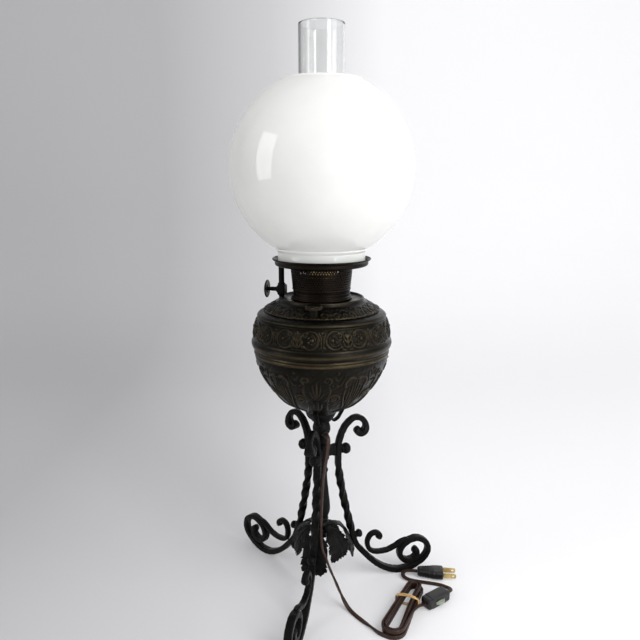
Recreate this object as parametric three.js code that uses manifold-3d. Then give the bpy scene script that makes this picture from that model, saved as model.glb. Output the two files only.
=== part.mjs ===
// A banquet lamp: an opal ball shade and a chimney over a round-wick oil burner that was wired later,
// an embossed metal font, and a wrought iron tripod, with its flat cord tied in a hank beside it.
// Millimetres, +Z up. The front foot points to -Y, and the lamp's axis is upright.
import * as THREE from "three";
import { mergeVertices } from "three/addons/utils/BufferGeometryUtils.js";
import Module from "manifold-3d";

const wasm = await Module();
wasm.setup();

// Fits shared by all pieces
const gap = 0.3; // left between two pieces that touch
const overrun = 2; // how far a cutter reaches past what it cuts

// Facets round each kind of turned piece
const roundSides = 24;
const burnerSides = 20;
const stemSides = 12;
const boltSides = 8;

// Tripod: each leg is one bar in an upright plane through the axis
const barWide = 9;
const barThick = 7;
const hubHeight = 183.5;
const neckRadius = 21.5;
const neckDrop = 20.3; // the straight shank starts this far below the hub's middle
const kneeHeight = 62.5;
const kneeRadius = 42.1;
const curlReach = 35.6;
const curlRise = 39.2;
const footReach = 147.6;
const footRise = 42;
const footCut = 0.35; // how deep the underside is filed flat
const twistInset = 2; // the twist starts this far below the neck, and ends above the knee
const twistLift = 8;
const legTwists = 1;
const curlBudThick = 9.4;
const curlEndWide = 13.4; // the bar is beaten out wider towards the end of its curl
const curlEndShare = 0.24; // share of the leg's route that the wider end takes up
const footBudThick = 12;

// Foot scrolls: a lighter bar that lies on each foot
const scrollWide = 7.2;
const scrollThick = 5.9;
const scrollTipThick = 3.4;
const scrollBudThick = 9;

// Bolts with ball heads
const boltRadius = 2.2;
const upperBallRadius = 6.2;
const lowerBallRadius = 5;
const ballSeatShare = 0.77;

// Centre of the tripod, stacked from the bottom up
const pipeRadius = 4.85;
const pipeBore = 3.4;
const nutRadius = 8;
const nutThick = 7;
const lowerHubRadius = 11;
const lowerHubBottom = 76.9;
const lowerHubThick = 5.7;
const leafThick = 2.2;
const columnRadius = 10.8;
const hubBossRadius = 9.6;
const hubThick = 21;
const hubArmWide = 8;
const hubArmTall = 15.5;
const bulbRadius = 10.9;
const bulbHeight = 29.5;
const cupRadius = 18.1;
const cupFoot = 11.7;
const cupHeight = 12.2;
const strapWide = 7;
const strapThick = 2.6;
const pipeAbove = 8;
const pipeBelow = 9;

// Leaves of the canopy between the legs
const leafWide = 35;
const leafReach = 34;
const leafDrop = 31.5;
const crownRise = 2.6;
const legLeafTip = 39;

// Font
const bowlRadius = 78.5;
const bowlFoot = 20;
const bowlDeep = 73;
const bowlWall = 1.6;
const beadOut = 0.9;
const beadTall = 7.4;
const spigotTall = 6;
const shellWall = 1.5;
const shellTall = 43.7;
const shoulderIn = 13.7; // how far the shell closes in to its ledge
const ledgeRadius = bowlRadius - shoulderIn;
const tankGap = 2.3;
const tankRadius = ledgeRadius - tankGap;
const tankWall = 1.2;
const tankFloor = 31.5; // the tank stands this far above the bowl's bottom
const tankTaper = 10.2;
const tankFootRadius = tankRadius - tankTaper;
const flangeOver = 2.5;
const flangeRadius = ledgeRadius + flangeOver;
const domeRise = 12.7;
const domeWide = 18.2;
const domeEdge = flangeRadius - domeWide;
const throatRadius = 29.2;
const draftRadius = 21.6;
const draftWall = 1;
const draftFlange = 25;

// Filler on the shoulder
const fillerAngle = -84;
const fillerInset = 6.8;
const fillerReach = flangeRadius - fillerInset;
const fillerRadius = 5.4;
const fillerBore = 4.1;
const fillerTall = 12;
const capRadius = 9.4;
const capTall = 4.9;
const capWall = 1.5;

// Burner
const collarTall = 10.2;
const collarRadius = 33;
const collarFoot = 35.5;
const collarWall = 1.4;
const galleryTall = 27.2;
const galleryFlare = 2.6;
const galleryWall = 1.2;
const ventRadius = 1.5;
const ventsRound = 14;
const ventRowHeights = [7.5, 12.5];
const seatTall = 19.2; // height of the chimney's seat above the gallery's foot
const seatThick = 1.4;
const seatBore = 30.4;
const wickTubeRadius = 28.3;
const wickTubeWall = 1.1;
const wickTubeDrop = 67.6;
const wickTubeRise = 26;
const wickThick = 3;
const wickGap = 1.4;
const carrierTall = 7;
const carrierAbove = 11; // carrier's height above the tank's floor
const wickTravel = 18;

// Shade ring and its carrier
const ringRadius = 53.8;
const ringLip = 56.75;
const ringWall = 1.6;
const ringTall = 8.5;
const ringFloorRadius = 48.8;
const spokeWide = 6;
const spokeThick = 1.8;
const spokeCollar = 2.9;

// Wick raiser at the side of the burner
const raiserInset = 1.9;
const raiserReach = domeEdge - raiserInset;
const pinionTeeth = 9;
const toothModule = 0.65;
const pinionWide = 4.4;
const shaftRadius = 2.5;
const spindleRadius = 1.4;
const knobReach = 67.3;
const knobRadius = 10.3;
const knobThick = 2.6;
const rackDeep = 3.05;
const rackWide = 3;
const tubeRadius = 3.3;
const tubeBore = 2.5;
const tubeDrop = 44;
const housingLong = 9;
const housingTall = 11.7;
const housingWall = 1.1;

// Glass
const shadeRadius = 103;
const shadeWall = 2.5;
const shadeMouth = 44.6;
const shadeLip = 1.2;
const fitterRadius = 50.3;
const fitterTall = 17.4;
const shadeFoot = 52.3;
const chimneyFoot = 32.8;
const chimneyBelly = 34.6;
const chimneyRadius = 25.4;
const chimneyWall = 2;
const lampHeight = 670.4;

// Electric lampholder on top of the draft tube
const socketFoot = 21.2;
const socketRadius = 15.5;
const socketTall = 36;
const socketWall = 1.6;
const socketFloor = 2.6;
const bulbNeck = 13;
const lampBulbRadius = 17;
const lampBulbTall = 98;

// Cord and what is on it
const cordWidth = 5.4;
const cordThick = 2.7;
const cordTube = 2.05;
const leadTube = 1.9;
const exitAngle = -52;
const bushRadius = 4;
const bushBore = 3;
const bushLong = 7.6;
const exitBend = 6;
const hankLoops = 4;
const hankLong = 109;
const hankHalf = 14.6;
const hankStep = 3.4;
const hankTaper = 3; // how much nearer to the middle the strands lie at the upper fold
const hankDraw = 0.07; // share of the width that the band draws in
const hankClear = 0.5; // between the two layers
const bandWide = 6;
const bandThick = 1;
const switchLong = 36;
const switchWide = 16;
const switchTall = 14;
const wheelRadius = 8.5;
const wheelThick = 4;
const wheelOffset = 3.6;
const wheelPin = 1.5;
const plugLong = 33;
const plugWide = 21;
const plugTall = 13;
const bladeLong = 16;
const bladeTall = 6.4;
const bladeThick = 1.5;
const bladeSpacing = 12.7;
const bladeHole = 1.6;

// Geometry helpers

// Merges shared corners and drops the empty triangles that a pole or a seam leaves.
function welded(geometry) {
  const bare = new THREE.BufferGeometry();
  bare.setAttribute("position", geometry.getAttribute("position"));
  bare.setIndex(geometry.getIndex());
  const merged = mergeVertices(bare, 1e-4);
  const from = merged.index.array;
  const kept = [];
  for (let i = 0; i < from.length; i += 3) {
    const [a, b, c] = [from[i], from[i + 1], from[i + 2]];
    if (a !== b && b !== c && c !== a) kept.push(a, b, c);
  }
  merged.setIndex(kept);
  return merged;
}

function toSolid(geometry) {
  const merged = welded(geometry);
  const positions = merged.attributes.position.array;
  const corners = new Uint32Array(merged.index.array);
  const mesh = new wasm.Mesh({ numProp: 3, vertProperties: positions, triVerts: corners });
  return new wasm.Manifold(mesh);
}

function toGeometry(solid) {
  const mesh = solid.getMesh();
  const points = new Float32Array(mesh.numVert * 3);
  for (let i = 0; i < mesh.numVert; i++) {
    points.set(mesh.vertProperties.subarray(i * mesh.numProp, i * mesh.numProp + 3), i * 3);
  }
  const geometry = new THREE.BufferGeometry();
  geometry.setAttribute("position", new THREE.BufferAttribute(points, 3));
  geometry.setIndex(new THREE.BufferAttribute(new Uint32Array(mesh.triVerts), 1));
  return geometry;
}

function cut(body, ...tools) {
  return toGeometry(tools.reduce((left, tool) => left.subtract(toSolid(tool)), toSolid(body)));
}

function join(body, ...others) {
  return toGeometry(others.reduce((whole, other) => whole.add(toSolid(other)), toSolid(body)));
}

// A solid of revolution about Z; the profile lists [radius, height] and runs counter-clockwise.
function turned(profile, sides) {
  const points = profile.map(([radius, height]) => new THREE.Vector2(radius, height));
  return new THREE.LatheGeometry(points, sides).rotateX(Math.PI / 2);
}

function rod(radius, bottom, top, sides) {
  return turned([[0, bottom], [radius, bottom], [radius, top], [0, top]], sides);
}

// The same rod laid along X instead of Z.
function crossRod(radius, from, to, sides) {
  return rod(radius, from, to, sides).rotateY(Math.PI / 2);
}

function sleeve(outer, inner, bottom, top, sides) {
  const profile = [[inner, bottom], [outer, bottom], [outer, top], [inner, top], [inner, bottom]];
  return turned(profile, sides);
}

function block(xSize, ySize, zSize, x, y, z) {
  return new THREE.BoxGeometry(xSize, ySize, zSize).translate(x, y, z);
}

// An outline of [radius, height] points moved to its left by the wall.
function inset(outline, wall) {
  return outline.map(([radius, height], i) => {
    const [r0, z0] = outline[Math.max(i - 1, 0)];
    const [r1, z1] = outline[Math.min(i + 1, outline.length - 1)];
    const long = Math.hypot(r1 - r0, z1 - z0);
    return [radius - (wall * (z1 - z0)) / long, height + (wall * (r1 - r0)) / long];
  });
}

// A thin turned shell: its outer outline going up, then the inner one coming back down.
function shellOf(outline, wall, sides) {
  return turned([...outline, ...inset(outline, wall).reverse(), outline[0]], sides);
}

// Closes a row of rings, each with the same number of corners, into one body with flat ends.
function loft(rings) {
  const count = rings[0].length;
  const corners = [];
  const faces = [];
  rings.forEach((ring) => ring.forEach((p) => corners.push(p.x, p.y, p.z)));
  for (let i = 0; i + 1 < rings.length; i++) {
    for (let k = 0; k < count; k++) {
      const a = i * count + k;
      const b = i * count + ((k + 1) % count);
      faces.push(a, b, b + count, a, b + count, a + count);
    }
  }
  const last = (rings.length - 1) * count;
  for (let k = 1; k + 1 < count; k++) {
    faces.push(0, k + 1, k, last, last + k, last + k + 1);
  }
  const geometry = new THREE.BufferGeometry();
  geometry.setAttribute("position", new THREE.BufferAttribute(new Float32Array(corners), 3));
  geometry.setIndex(faces);
  return geometry;
}

function mixed(list, t) {
  const place = t * (list.length - 1);
  const i = Math.min(Math.floor(place), list.length - 2);
  return list[i] + (list[i + 1] - list[i]) * (place - i);
}

// A forged bar along a route of [radius, height] points in the XZ plane.
// wideAt and thickAt give its size at a share of the route, and turnAt its twist at a height.
function forged(points, ringCount, wideAt, thickAt, turnAt = () => 0) {
  const route = new THREE.CatmullRomCurve3(points.map(([r, z]) => new THREE.Vector3(r, 0, z)));
  const rings = [];
  for (let i = 0; i <= ringCount; i++) {
    const t = i / ringCount;
    const centre = route.getPoint(t);
    const along = route.getTangent(t);
    const out = new THREE.Vector3(along.z, 0, -along.x);
    const across = new THREE.Vector3(0, 1, 0);
    const angle = turnAt(centre.z);
    const u = out.clone().multiplyScalar(Math.cos(angle)).addScaledVector(across, Math.sin(angle));
    const v = across.clone().multiplyScalar(Math.cos(angle)).addScaledVector(out, -Math.sin(angle));
    u.multiplyScalar(thickAt(t) / 2);
    v.multiplyScalar(wideAt(t) / 2);
    rings.push([
      centre.clone().sub(u).sub(v),
      centre.clone().add(u).sub(v),
      centre.clone().add(u).add(v),
      centre.clone().sub(u).add(v),
    ]);
  }
  return loft(rings);
}

function placedShares(shares, x0, xSize, z0, zSize) {
  return shares.map(([across, up]) => [x0 + across * xSize, z0 + up * zSize]);
}

// Materials
function paint(color, roughness, metalness, opacity = 1) {
  const seeThrough = opacity < 1;
  return new THREE.MeshStandardMaterial({ color, roughness, metalness, opacity, transparent: seeThrough });
}

const iron = paint(0x171310, 0.6, 0.7);
const bronze = paint(0x2b241a, 0.45, 0.8);
const copper = paint(0x3a2317, 0.5, 0.8);
const brass = paint(0xb08d42, 0.35, 0.9);
const opal = paint(0xf4f4f2, 0.15, 0);
const clearGlass = paint(0xe8eeee, 0.05, 0, 0.3);
const cordBrown = paint(0x2c1913, 0.6, 0);
const blackPlastic = paint(0x111111, 0.5, 0);
const wheelGrey = paint(0x8f9a86, 0.6, 0);
const rubberTan = paint(0xc59a55, 0.7, 0);
const cotton = paint(0xd8cfb8, 0.9, 0);

const lamp = new THREE.Group();
const nodes = new THREE.Group();
lamp.add(nodes);

function piece(name, geometry, material, group = nodes) {
  const mesh = new THREE.Mesh(geometry, material);
  mesh.name = name;
  group.add(mesh);
  return mesh;
}

// Angles of the three legs about Z, in degrees from +X
const legAngles = { front: -90, right: 30, left: 150 };
const betweenAngles = { front_right: -30, back: 90, front_left: 210 };
const degrees = THREE.MathUtils.degToRad;

// Legs
const curlShares = [
  [0.72, 0.64], [0.705, 0.54], [0.815, 0.47], [0.948, 0.53], [1, 0.68], [0.935, 0.85], [0.78, 0.972],
  [0.584, 1], [0.39, 0.9], [0.208, 0.708], [0.078, 0.44], [0.013, 0.22], [0, 0],
];
const footShares = [
  [0.043, 1.115], [0.118, 0.867], [0.187, 0.662], [0.266, 0.456], [0.37, 0.244], [0.493, 0.077],
  [0.617, 0], [0.74, 0.023], [0.856, 0.128], [0.952, 0.295], [1, 0.526], [0.979, 0.769], [0.914, 0.923],
  [0.834, 0.997], [0.751, 0.964], [0.674, 0.859], [0.626, 0.7], [0.619, 0.526], [0.652, 0.364],
  [0.717, 0.277], [0.791, 0.287], [0.845, 0.41], [0.838, 0.56], [0.784, 0.628],
];
const shankPoints = 8;
const shankBow = 1.3; // above 1 the shank leaves the neck upright and bows outwards lower down
const neckEnd = hubHeight - neckDrop;
const footSpan = footReach - kneeRadius;
const footFloor = barThick / 2 - footCut;

function shankRadius(height) {
  return neckRadius + ((neckEnd - height) / (neckEnd - kneeHeight)) ** shankBow * (kneeRadius - neckRadius);
}

function legRoute() {
  const curl = placedShares(curlShares, neckRadius, curlReach, hubHeight, curlRise);
  const shank = [];
  for (let i = 0; i <= shankPoints; i++) {
    const height = neckEnd + (i / shankPoints) * (kneeHeight - neckEnd);
    shank.push([shankRadius(height), height]);
  }
  return [...curl, ...shank, ...placedShares(footShares, kneeRadius, footSpan, footFloor, footRise)];
}

// A bar's thickness swells to a rounded bud at its curled ends.
function swelling(plain, firstBud, lastBud, budShare) {
  return (t) => {
    const near = (distance) => Math.max(0, 1 - distance / budShare);
    return plain + (firstBud - plain) * near(t) ** 2 + (lastBud - plain) * near(1 - t) ** 2;
  };
}

const kneeTilt = Math.atan2(shankBow * (kneeRadius - neckRadius), neckEnd - kneeHeight);

// A cutter or bolt along X is brought to a leg's upper or lower bolt place.
function atHub(geometry) {
  return geometry.translate(neckRadius, 0, hubHeight);
}

function atKnee(geometry) {
  return geometry.rotateY(-kneeTilt).translate(kneeRadius, 0, kneeHeight);
}

function legGeometry() {
  const route = legRoute();
  const twist = (height) => {
    const top = neckEnd - twistInset;
    const share = THREE.MathUtils.clamp((top - height) / (top - kneeHeight - twistLift), 0, 1);
    return share * legTwists * 2 * Math.PI;
  };
  const thick = swelling(barThick, curlBudThick, footBudThick, 2.2 / route.length);
  const wide = (t) => curlEndWide + (barWide - curlEndWide) * THREE.MathUtils.smoothstep(t, 0, curlEndShare);
  const bar = forged(route, Math.round(route.length * 1.2), wide, thick, twist);
  const hole = boltRadius + gap;
  const half = barThick / 2 + overrun;
  const floorBlock = block(4 * footReach, 4 * barWide, 2 * barWide, 0, 0, -barWide);
  const hubHole = atHub(crossRod(hole, -half, half, boltSides));
  const kneeHole = atKnee(crossRod(hole, -half, half, boltSides));
  const spotFace = atKnee(crossRod(lowerBallRadius, barThick / 2, barThick / 2 + overrun, boltSides));
  return cut(bar, floorBlock, hubHole, kneeHole, spotFace);
}

for (const [side, angle] of Object.entries(legAngles)) {
  piece("leg_" + side, legGeometry(), iron).rotation.z = degrees(angle);
}

// Foot scrolls
const scrollShares = [
  [0.312, 1.185], [0.34, 1.29], [0.3, 1.39], [0.232, 1.36], [0.192, 1.205], [0.188, 1.03], [0.216, 0.862],
  [0.27, 0.77], [0.349, 0.732], [0.442, 0.742], [0.524, 0.805], [0.592, 0.895], [0.6465, 0.9605],
];

function scrollGeometry() {
  const route = placedShares(scrollShares, kneeRadius, footSpan, footFloor, footRise);
  const thick = swelling(scrollThick, scrollBudThick, scrollTipThick, 2.5 / route.length);
  return forged(route, route.length * 2, () => scrollWide, thick);
}

for (const [side, angle] of Object.entries(legAngles)) {
  piece("foot_scroll_" + side, scrollGeometry(), iron).rotation.z = degrees(angle);
}

// Ball-headed bolts: shank, seat and ball along X, counted from the bar's centre
function boltGeometry(shankEnd, seat, ballRadius) {
  const profile = [
    [0, shankEnd], [boltRadius, shankEnd], [boltRadius, seat], [ballSeatShare * ballRadius, seat],
    [ballRadius, seat + ballRadius * 0.65], [ballRadius * 0.85, seat + ballRadius * 1.25],
    [ballRadius * 0.4, seat + ballRadius * 1.6], [0, seat + ballRadius * 1.7],
  ];
  return turned(profile, boltSides).rotateY(Math.PI / 2);
}

const boltSeat = barThick / 2 + gap;
const hubArmEnd = neckRadius - barThick / 2 - gap;
const hubBoltDeep = hubBossRadius + gap - neckRadius;
const leafInset = boltSeat + leafThick;
for (const [side, angle] of Object.entries(legAngles)) {
  const upper = atHub(boltGeometry(hubBoltDeep, boltSeat, upperBallRadius));
  const lower = atKnee(boltGeometry(-leafInset, boltSeat, lowerBallRadius));
  piece("upper_leg_bolt_" + side, upper, iron).rotation.z = degrees(angle);
  piece("lower_leg_bolt_" + side, lower, iron).rotation.z = degrees(angle);
}

// Canopy of leaves, clamped between the lower hub and the column
const leafRoot = pipeRadius + gap + 2;
const leafLevel = lowerHubBottom + lowerHubThick + gap + leafThick / 2;
const leafWideShares = [0.15, 0.24, 0.3, 0.3, 0.36, 0.78, 1, 0.86, 0.96, 0.8, 0.84, 0.5];
const betweenShares = [
  [0, 0], [0.07, 0], [0.2, 0.02], [0.45, 0.1], [0.68, 0.27], [0.84, 0.48], [0.94, 0.7], [1, 1],
];
const legArchShares = [[0, 0], [0.09, 0], [0.28, -0.04], [0.54, 0.08], [0.77, 0.36]];

function leafGeometry(route) {
  return forged(route, leafWideShares.length * 2 - 2, (t) => leafWide * mixed(leafWideShares, t), () => leafThick);
}

function betweenLeaf() {
  const route = betweenShares.map(([out, down]) => {
    return [leafRoot + out * (leafReach - leafRoot), leafLevel - down * leafDrop];
  });
  return leafGeometry(route);
}

// The leaf behind a leg arches over to the leg's inner face, is bolted there and hangs down.
function legLeaf() {
  const depth = boltSeat + leafThick / 2;
  const boltPoint = [kneeRadius - depth * Math.cos(kneeTilt), kneeHeight - depth * Math.sin(kneeTilt)];
  const arch = legArchShares.map(([out, down]) => {
    return [leafRoot + out * (boltPoint[0] - leafRoot), leafLevel - down * (leafLevel - boltPoint[1])];
  });
  const hang = boltPoint[1] - legLeafTip;
  const slope = Math.tan(kneeTilt);
  const below = [
    [boltPoint[0] + 0.25 * hang * slope, boltPoint[1] - 0.25 * hang],
    [boltPoint[0] + 0.35 * hang * slope, boltPoint[1] - 0.6 * hang],
    [boltPoint[0] + 0.3 * hang * slope, legLeafTip],
  ];
  const hole = atKnee(crossRod(boltRadius + gap, -leafInset - overrun, overrun, boltSides));
  return cut(leafGeometry([...arch, boltPoint, ...below]), hole);
}

for (const [side, angle] of Object.entries(legAngles)) {
  piece("leg_leaf_" + side, legLeaf(), iron).rotation.z = degrees(angle);
}
for (const [side, angle] of Object.entries(betweenAngles)) {
  piece("leaf_" + side, betweenLeaf(), iron).rotation.z = degrees(angle);
}

// Centre pipe and what is threaded on it
const pipeHole = pipeRadius + gap;
const columnBottom = leafLevel + leafThick / 2 + gap;
const hubBottom = hubHeight - hubThick / 2;
const columnTop = hubBottom - gap;
const columnHeight = columnTop - columnBottom;
const hubTop = hubBottom + hubThick;
const bulbBottom = hubTop + gap;
const bulbTop = bulbBottom + bulbHeight;
const cupBottom = bulbTop + gap;
const cupTop = cupBottom + cupHeight;
const bowlBottom = cupTop + gap;
const exitHeight = bulbBottom + 0.494 * bulbHeight;
const pipeTop = bowlBottom + pipeAbove;
const pipeBottom = lowerHubBottom - pipeBelow;

const columnShares = [
  [0.85, 0], [0.85, 0.035], [0.72, 0.06], [0.8, 0.095], [0.76, 0.125], [1, 0.235], [0.98, 0.33],
  [0.86, 0.48], [0.71, 0.65], [0.65, 0.8], [0.76, 0.845], [0.66, 0.875], [0.65, 1],
];
const neckBulbShares = [
  [0.68, 0], [0.76, 0.13], [0.76, 0.25], [0.63, 0.33], [0.9, 0.48], [1, 0.66], [0.9, 0.84], [0.74, 0.95],
  [0.76, 1],
];

function bored(shares, radius, bottom, height) {
  const outer = placedShares(shares, 0, radius, bottom, height);
  const profile = [[pipeHole, bottom], ...outer, [pipeHole, bottom + height], [pipeHole, bottom]];
  return turned(profile, stemSides);
}

piece("lower_hub", sleeve(lowerHubRadius, pipeHole, lowerHubBottom, lowerHubBottom + lowerHubThick, stemSides), iron);
const nutTop = lowerHubBottom - gap;
const nutBore = rod(pipeHole, nutTop - nutThick - overrun, nutTop + overrun, stemSides);
piece("pipe_nut", cut(rod(nutRadius, nutTop - nutThick, nutTop, 6), nutBore), iron);
piece("column", bored(columnShares, columnRadius, columnBottom, columnHeight), iron);

function hubGeometry() {
  const boss = rod(hubBossRadius, hubBottom, hubTop, stemSides);
  const arms = Object.values(legAngles).map((angle) => {
    const arm = block(hubArmEnd, hubArmWide, hubArmTall, hubArmEnd / 2, 0, hubHeight);
    return arm.rotateZ(degrees(angle));
  });
  const holes = Object.values(legAngles).map((angle) => {
    const hole = crossRod(boltRadius + gap, hubBossRadius, hubArmEnd + overrun, boltSides);
    return hole.translate(0, 0, hubHeight).rotateZ(degrees(angle));
  });
  const bore = rod(pipeHole, hubBottom - overrun, hubTop + overrun, stemSides);
  return cut(join(boss, ...arms), bore, ...holes);
}

piece("upper_hub", hubGeometry(), iron);

// The lead leaves the pipe sideways through the neck bulb.
function atExit(geometry) {
  return geometry.rotateZ(degrees(exitAngle)).translate(0, 0, exitHeight);
}

const bushStart = pipeRadius + gap;
const bulbHole = atExit(crossRod(bushRadius + gap, 0, bulbRadius + overrun, stemSides));
piece("neck_bulb", cut(bored(neckBulbShares, bulbRadius, bulbBottom, bulbHeight), bulbHole), iron);
const window = atExit(crossRod(pipeBore, 0, pipeRadius + overrun, stemSides));
piece("centre_pipe", cut(sleeve(pipeRadius, pipeBore, pipeBottom, pipeTop, stemSides), window), iron);
const bush = sleeve(bushRadius, bushBore, bushStart, bushStart + bushLong, stemSides);
piece("lead_bushing", atExit(bush.rotateY(Math.PI / 2)), blackPlastic);

// Font cup with its three scroll straps
const bowlShares = [
  [0.256, 0], [0.398, 0.116], [0.585, 0.232], [0.756, 0.435], [0.897, 0.68], [0.982, 0.913], [1, 1],
];
const bowlOutline = placedShares(bowlShares, 0, bowlRadius, bowlBottom, bowlDeep);
const cupShares = [[0.67, 0], [0.78, 0.25], [0.95, 0.7], [1, 1]];
const strapShares = [[0.1, 0.12], [0.28, -0.17], [0.52, 0.02], [0.7, 0.5], [0.84, 0.9]];

function cupGeometry() {
  const cup = bored(cupShares, cupRadius, cupBottom, cupHeight);
  const [r0, z0] = bowlOutline[0];
  const [r1, z1] = bowlOutline[1];
  const long = Math.hypot(r1 - r0, z1 - z0);
  const away = gap + strapThick / 2;
  const touch = [r0 * 0.16 + r1 * 0.84, z0 * 0.16 + z1 * 0.84];
  const end = [touch[0] + (away * (z1 - z0)) / long, touch[1] - (away * (r1 - r0)) / long];
  const route = placedShares(strapShares, cupFoot * 0.8, end[0] - cupFoot * 0.8, cupBottom, cupHeight);
  const straps = Object.values(legAngles).map((angle) => {
    const strap = forged([...route, end], 14, () => strapWide, () => strapThick);
    return strap.rotateZ(degrees(angle));
  });
  return join(cup, ...straps);
}

piece("font_cup", cupGeometry(), iron);

// Lower bowl of the font, with the bead and the spigot that the upper shell stands over
const beadBottom = bowlBottom + bowlDeep;
const beadTop = beadBottom + beadTall;
const spigotRadius = bowlRadius - shellWall - gap - 0.6 * bowlWall;

function lowerBowl() {
  const beadRadius = bowlRadius + beadOut;
  const inner = inset(bowlOutline, bowlWall).reverse();
  return turned(
    [
      [pipeHole, bowlBottom], ...bowlOutline,
      [beadRadius - 0.5 * beadOut, beadBottom + 0.12 * beadTall], [beadRadius, beadBottom + 0.45 * beadTall],
      [beadRadius, beadBottom + 0.7 * beadTall], [bowlRadius, beadTop], [spigotRadius, beadTop],
      [spigotRadius, beadTop + spigotTall], [spigotRadius - bowlWall, beadTop + spigotTall],
      [spigotRadius - bowlWall, beadBottom], ...inner.slice(1), [pipeHole, bowlBottom + bowlWall],
      [pipeHole, bowlBottom],
    ],
    roundSides,
  );
}

piece("lower_bowl", lowerBowl(), bronze);

// Upper shell of the font, up to the ledge that the tank's flange rests on
const shellBottom = beadTop + gap;
const ledgeTop = shellBottom + shellTall;
const shellInner = spigotRadius + gap;
const shellShares = [
  [0, 0], [0.2, 0.055], [0.25, 0.2], [0.1, 0.29], [0.07, 0.39], [-0.02, 0.57], [-0.21, 0.755], [-0.33, 0.82],
  [-0.25, 0.87], [-0.34, 0.915], [-0.86, 0.985],
];

function upperShell() {
  const drop = bowlRadius - ledgeRadius;
  const outline = placedShares(shellShares, bowlRadius, drop, shellBottom, shellTall);
  const inner = inset(outline.slice(4), shellWall).reverse();
  return turned(
    [
      ...outline, [ledgeRadius, ledgeTop], [ledgeRadius, ledgeTop - shellWall], ...inner,
      [shellInner, shellBottom + 0.25 * shellTall], [shellInner, shellBottom], outline[0],
    ],
    roundSides,
  );
}

piece("upper_shell", upperShell(), bronze);

// Tank that drops into the casing: the pot that holds the oil, hung under its top, which has the flange and the
// embossed dome
const flangeBottom = ledgeTop + gap;
const domeTop = flangeBottom + domeRise;
const tankBottom = bowlBottom + tankFloor;
const tankDeep = flangeBottom - tankBottom;
const domeShares = [
  [1, 0.06], [0.87, 0.12], [0.64, 0.36], [0.36, 0.6], [0.105, 0.82], [0.02, 0.98], [0, 1.12], [-0.1, 1.17],
  [-0.15, 1],
];
const fillerPlace = [fillerReach * Math.cos(degrees(fillerAngle)), fillerReach * Math.sin(degrees(fillerAngle))];
const rackSide = -(toothModule * pinionTeeth) / 2 - rackDeep / 2 + 0.45 * toothModule;

const tankRim = flangeBottom - gap;
const tankProfile = [
  [draftRadius + gap, tankBottom], [tankFootRadius, tankBottom], [tankRadius, tankBottom + 0.25 * tankDeep],
  [tankRadius, tankRim], [tankRadius - tankWall, tankRim], [tankRadius - tankWall, tankBottom + 0.26 * tankDeep],
  [tankFootRadius - tankWall, tankBottom + tankWall], [draftRadius + gap, tankBottom + tankWall],
  [draftRadius + gap, tankBottom],
];
piece("font_tank", turned(tankProfile, roundSides), bronze);

function tankTop() {
  const domeSpan = flangeRadius - domeEdge;
  const dome = placedShares(domeShares, domeEdge, domeSpan, flangeBottom, domeRise);
  const inner = [
    [throatRadius, domeTop - tankWall], [domeEdge - 0.15 * domeSpan, domeTop - tankWall],
    ...placedShares([[0.03, 0.82], [0.36, 0.48], [0.62, 0.26]], domeEdge, domeSpan, flangeBottom, domeRise),
  ];
  const flangeInner = [tankRadius - tankWall, flangeBottom];
  const profile = [
    flangeInner, [flangeRadius, flangeBottom], ...dome, [throatRadius, domeTop], ...inner, flangeInner,
  ];
  const top = domeTop + 2 * overrun;
  const fillerHole = rod(fillerRadius + gap, flangeBottom + 0.8 * tankWall, top, stemSides);
  fillerHole.translate(fillerPlace[0], fillerPlace[1], 0);
  const tubeHole = rod(tubeRadius + gap, flangeBottom - overrun, top, boltSides);
  tubeHole.translate(-raiserReach, rackSide, 0);
  return cut(turned(profile, roundSides), fillerHole, tubeHole);
}

piece("tank_top", tankTop(), bronze);

// Filler neck and screw cap
const fillerTop = domeTop + 0.09 * fillerTall;
const neck = sleeve(fillerRadius, fillerBore, fillerTop - fillerTall, fillerTop, stemSides);
piece("filler_neck", neck.translate(fillerPlace[0], fillerPlace[1], 0), brass);
const capTop = fillerTop + gap + capWall;
const capProfile = [
  [0, capTop - capWall], [fillerRadius + gap, capTop - capWall], [fillerRadius + gap, capTop - capTall],
  [capRadius, capTop - capTall], [capRadius, capTop - 0.25 * capTall], [0.9 * capRadius, capTop], [0, capTop],
];
piece("filler_cap", turned(capProfile, stemSides).translate(fillerPlace[0], fillerPlace[1], 0), bronze);

// Burner: draft tube, wick tube, wick, and the collar and gallery round them
const wickTubeFlangeTop = domeTop + gap + collarWall;
const wickTubeTop = domeTop + wickTubeRise;
const draftTop = wickTubeTop - overrun;
const draftProfile = [
  [draftRadius - draftWall, tankBottom - gap - draftWall], [draftFlange, tankBottom - gap - draftWall],
  [draftFlange, tankBottom - gap], [draftRadius, tankBottom - gap], [draftRadius, draftTop],
  [draftRadius - draftWall, draftTop], [draftRadius - draftWall, tankBottom - gap - draftWall],
];
piece("draft_tube", turned(draftProfile, burnerSides), copper);

const wickTubeInner = wickTubeRadius - wickTubeWall;
const wickTubeProfile = [
  [wickTubeInner, domeTop - wickTubeDrop], [wickTubeRadius, domeTop - wickTubeDrop],
  [wickTubeRadius, domeTop + gap], [throatRadius + 2, domeTop + gap], [throatRadius + 2, wickTubeFlangeTop],
  [wickTubeRadius, wickTubeFlangeTop], [wickTubeRadius, wickTubeTop], [wickTubeInner, wickTubeTop],
  [wickTubeInner, domeTop - wickTubeDrop],
];
piece("wick_tube", turned(wickTubeProfile, burnerSides), copper);

const carrierBottom = tankBottom + carrierAbove;
const wickInner = draftRadius + wickGap;
const wickSleeve = sleeve(wickInner + wickThick, wickInner, carrierBottom + carrierTall + gap, draftTop, burnerSides);
piece("wick", wickSleeve, cotton);

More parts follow.
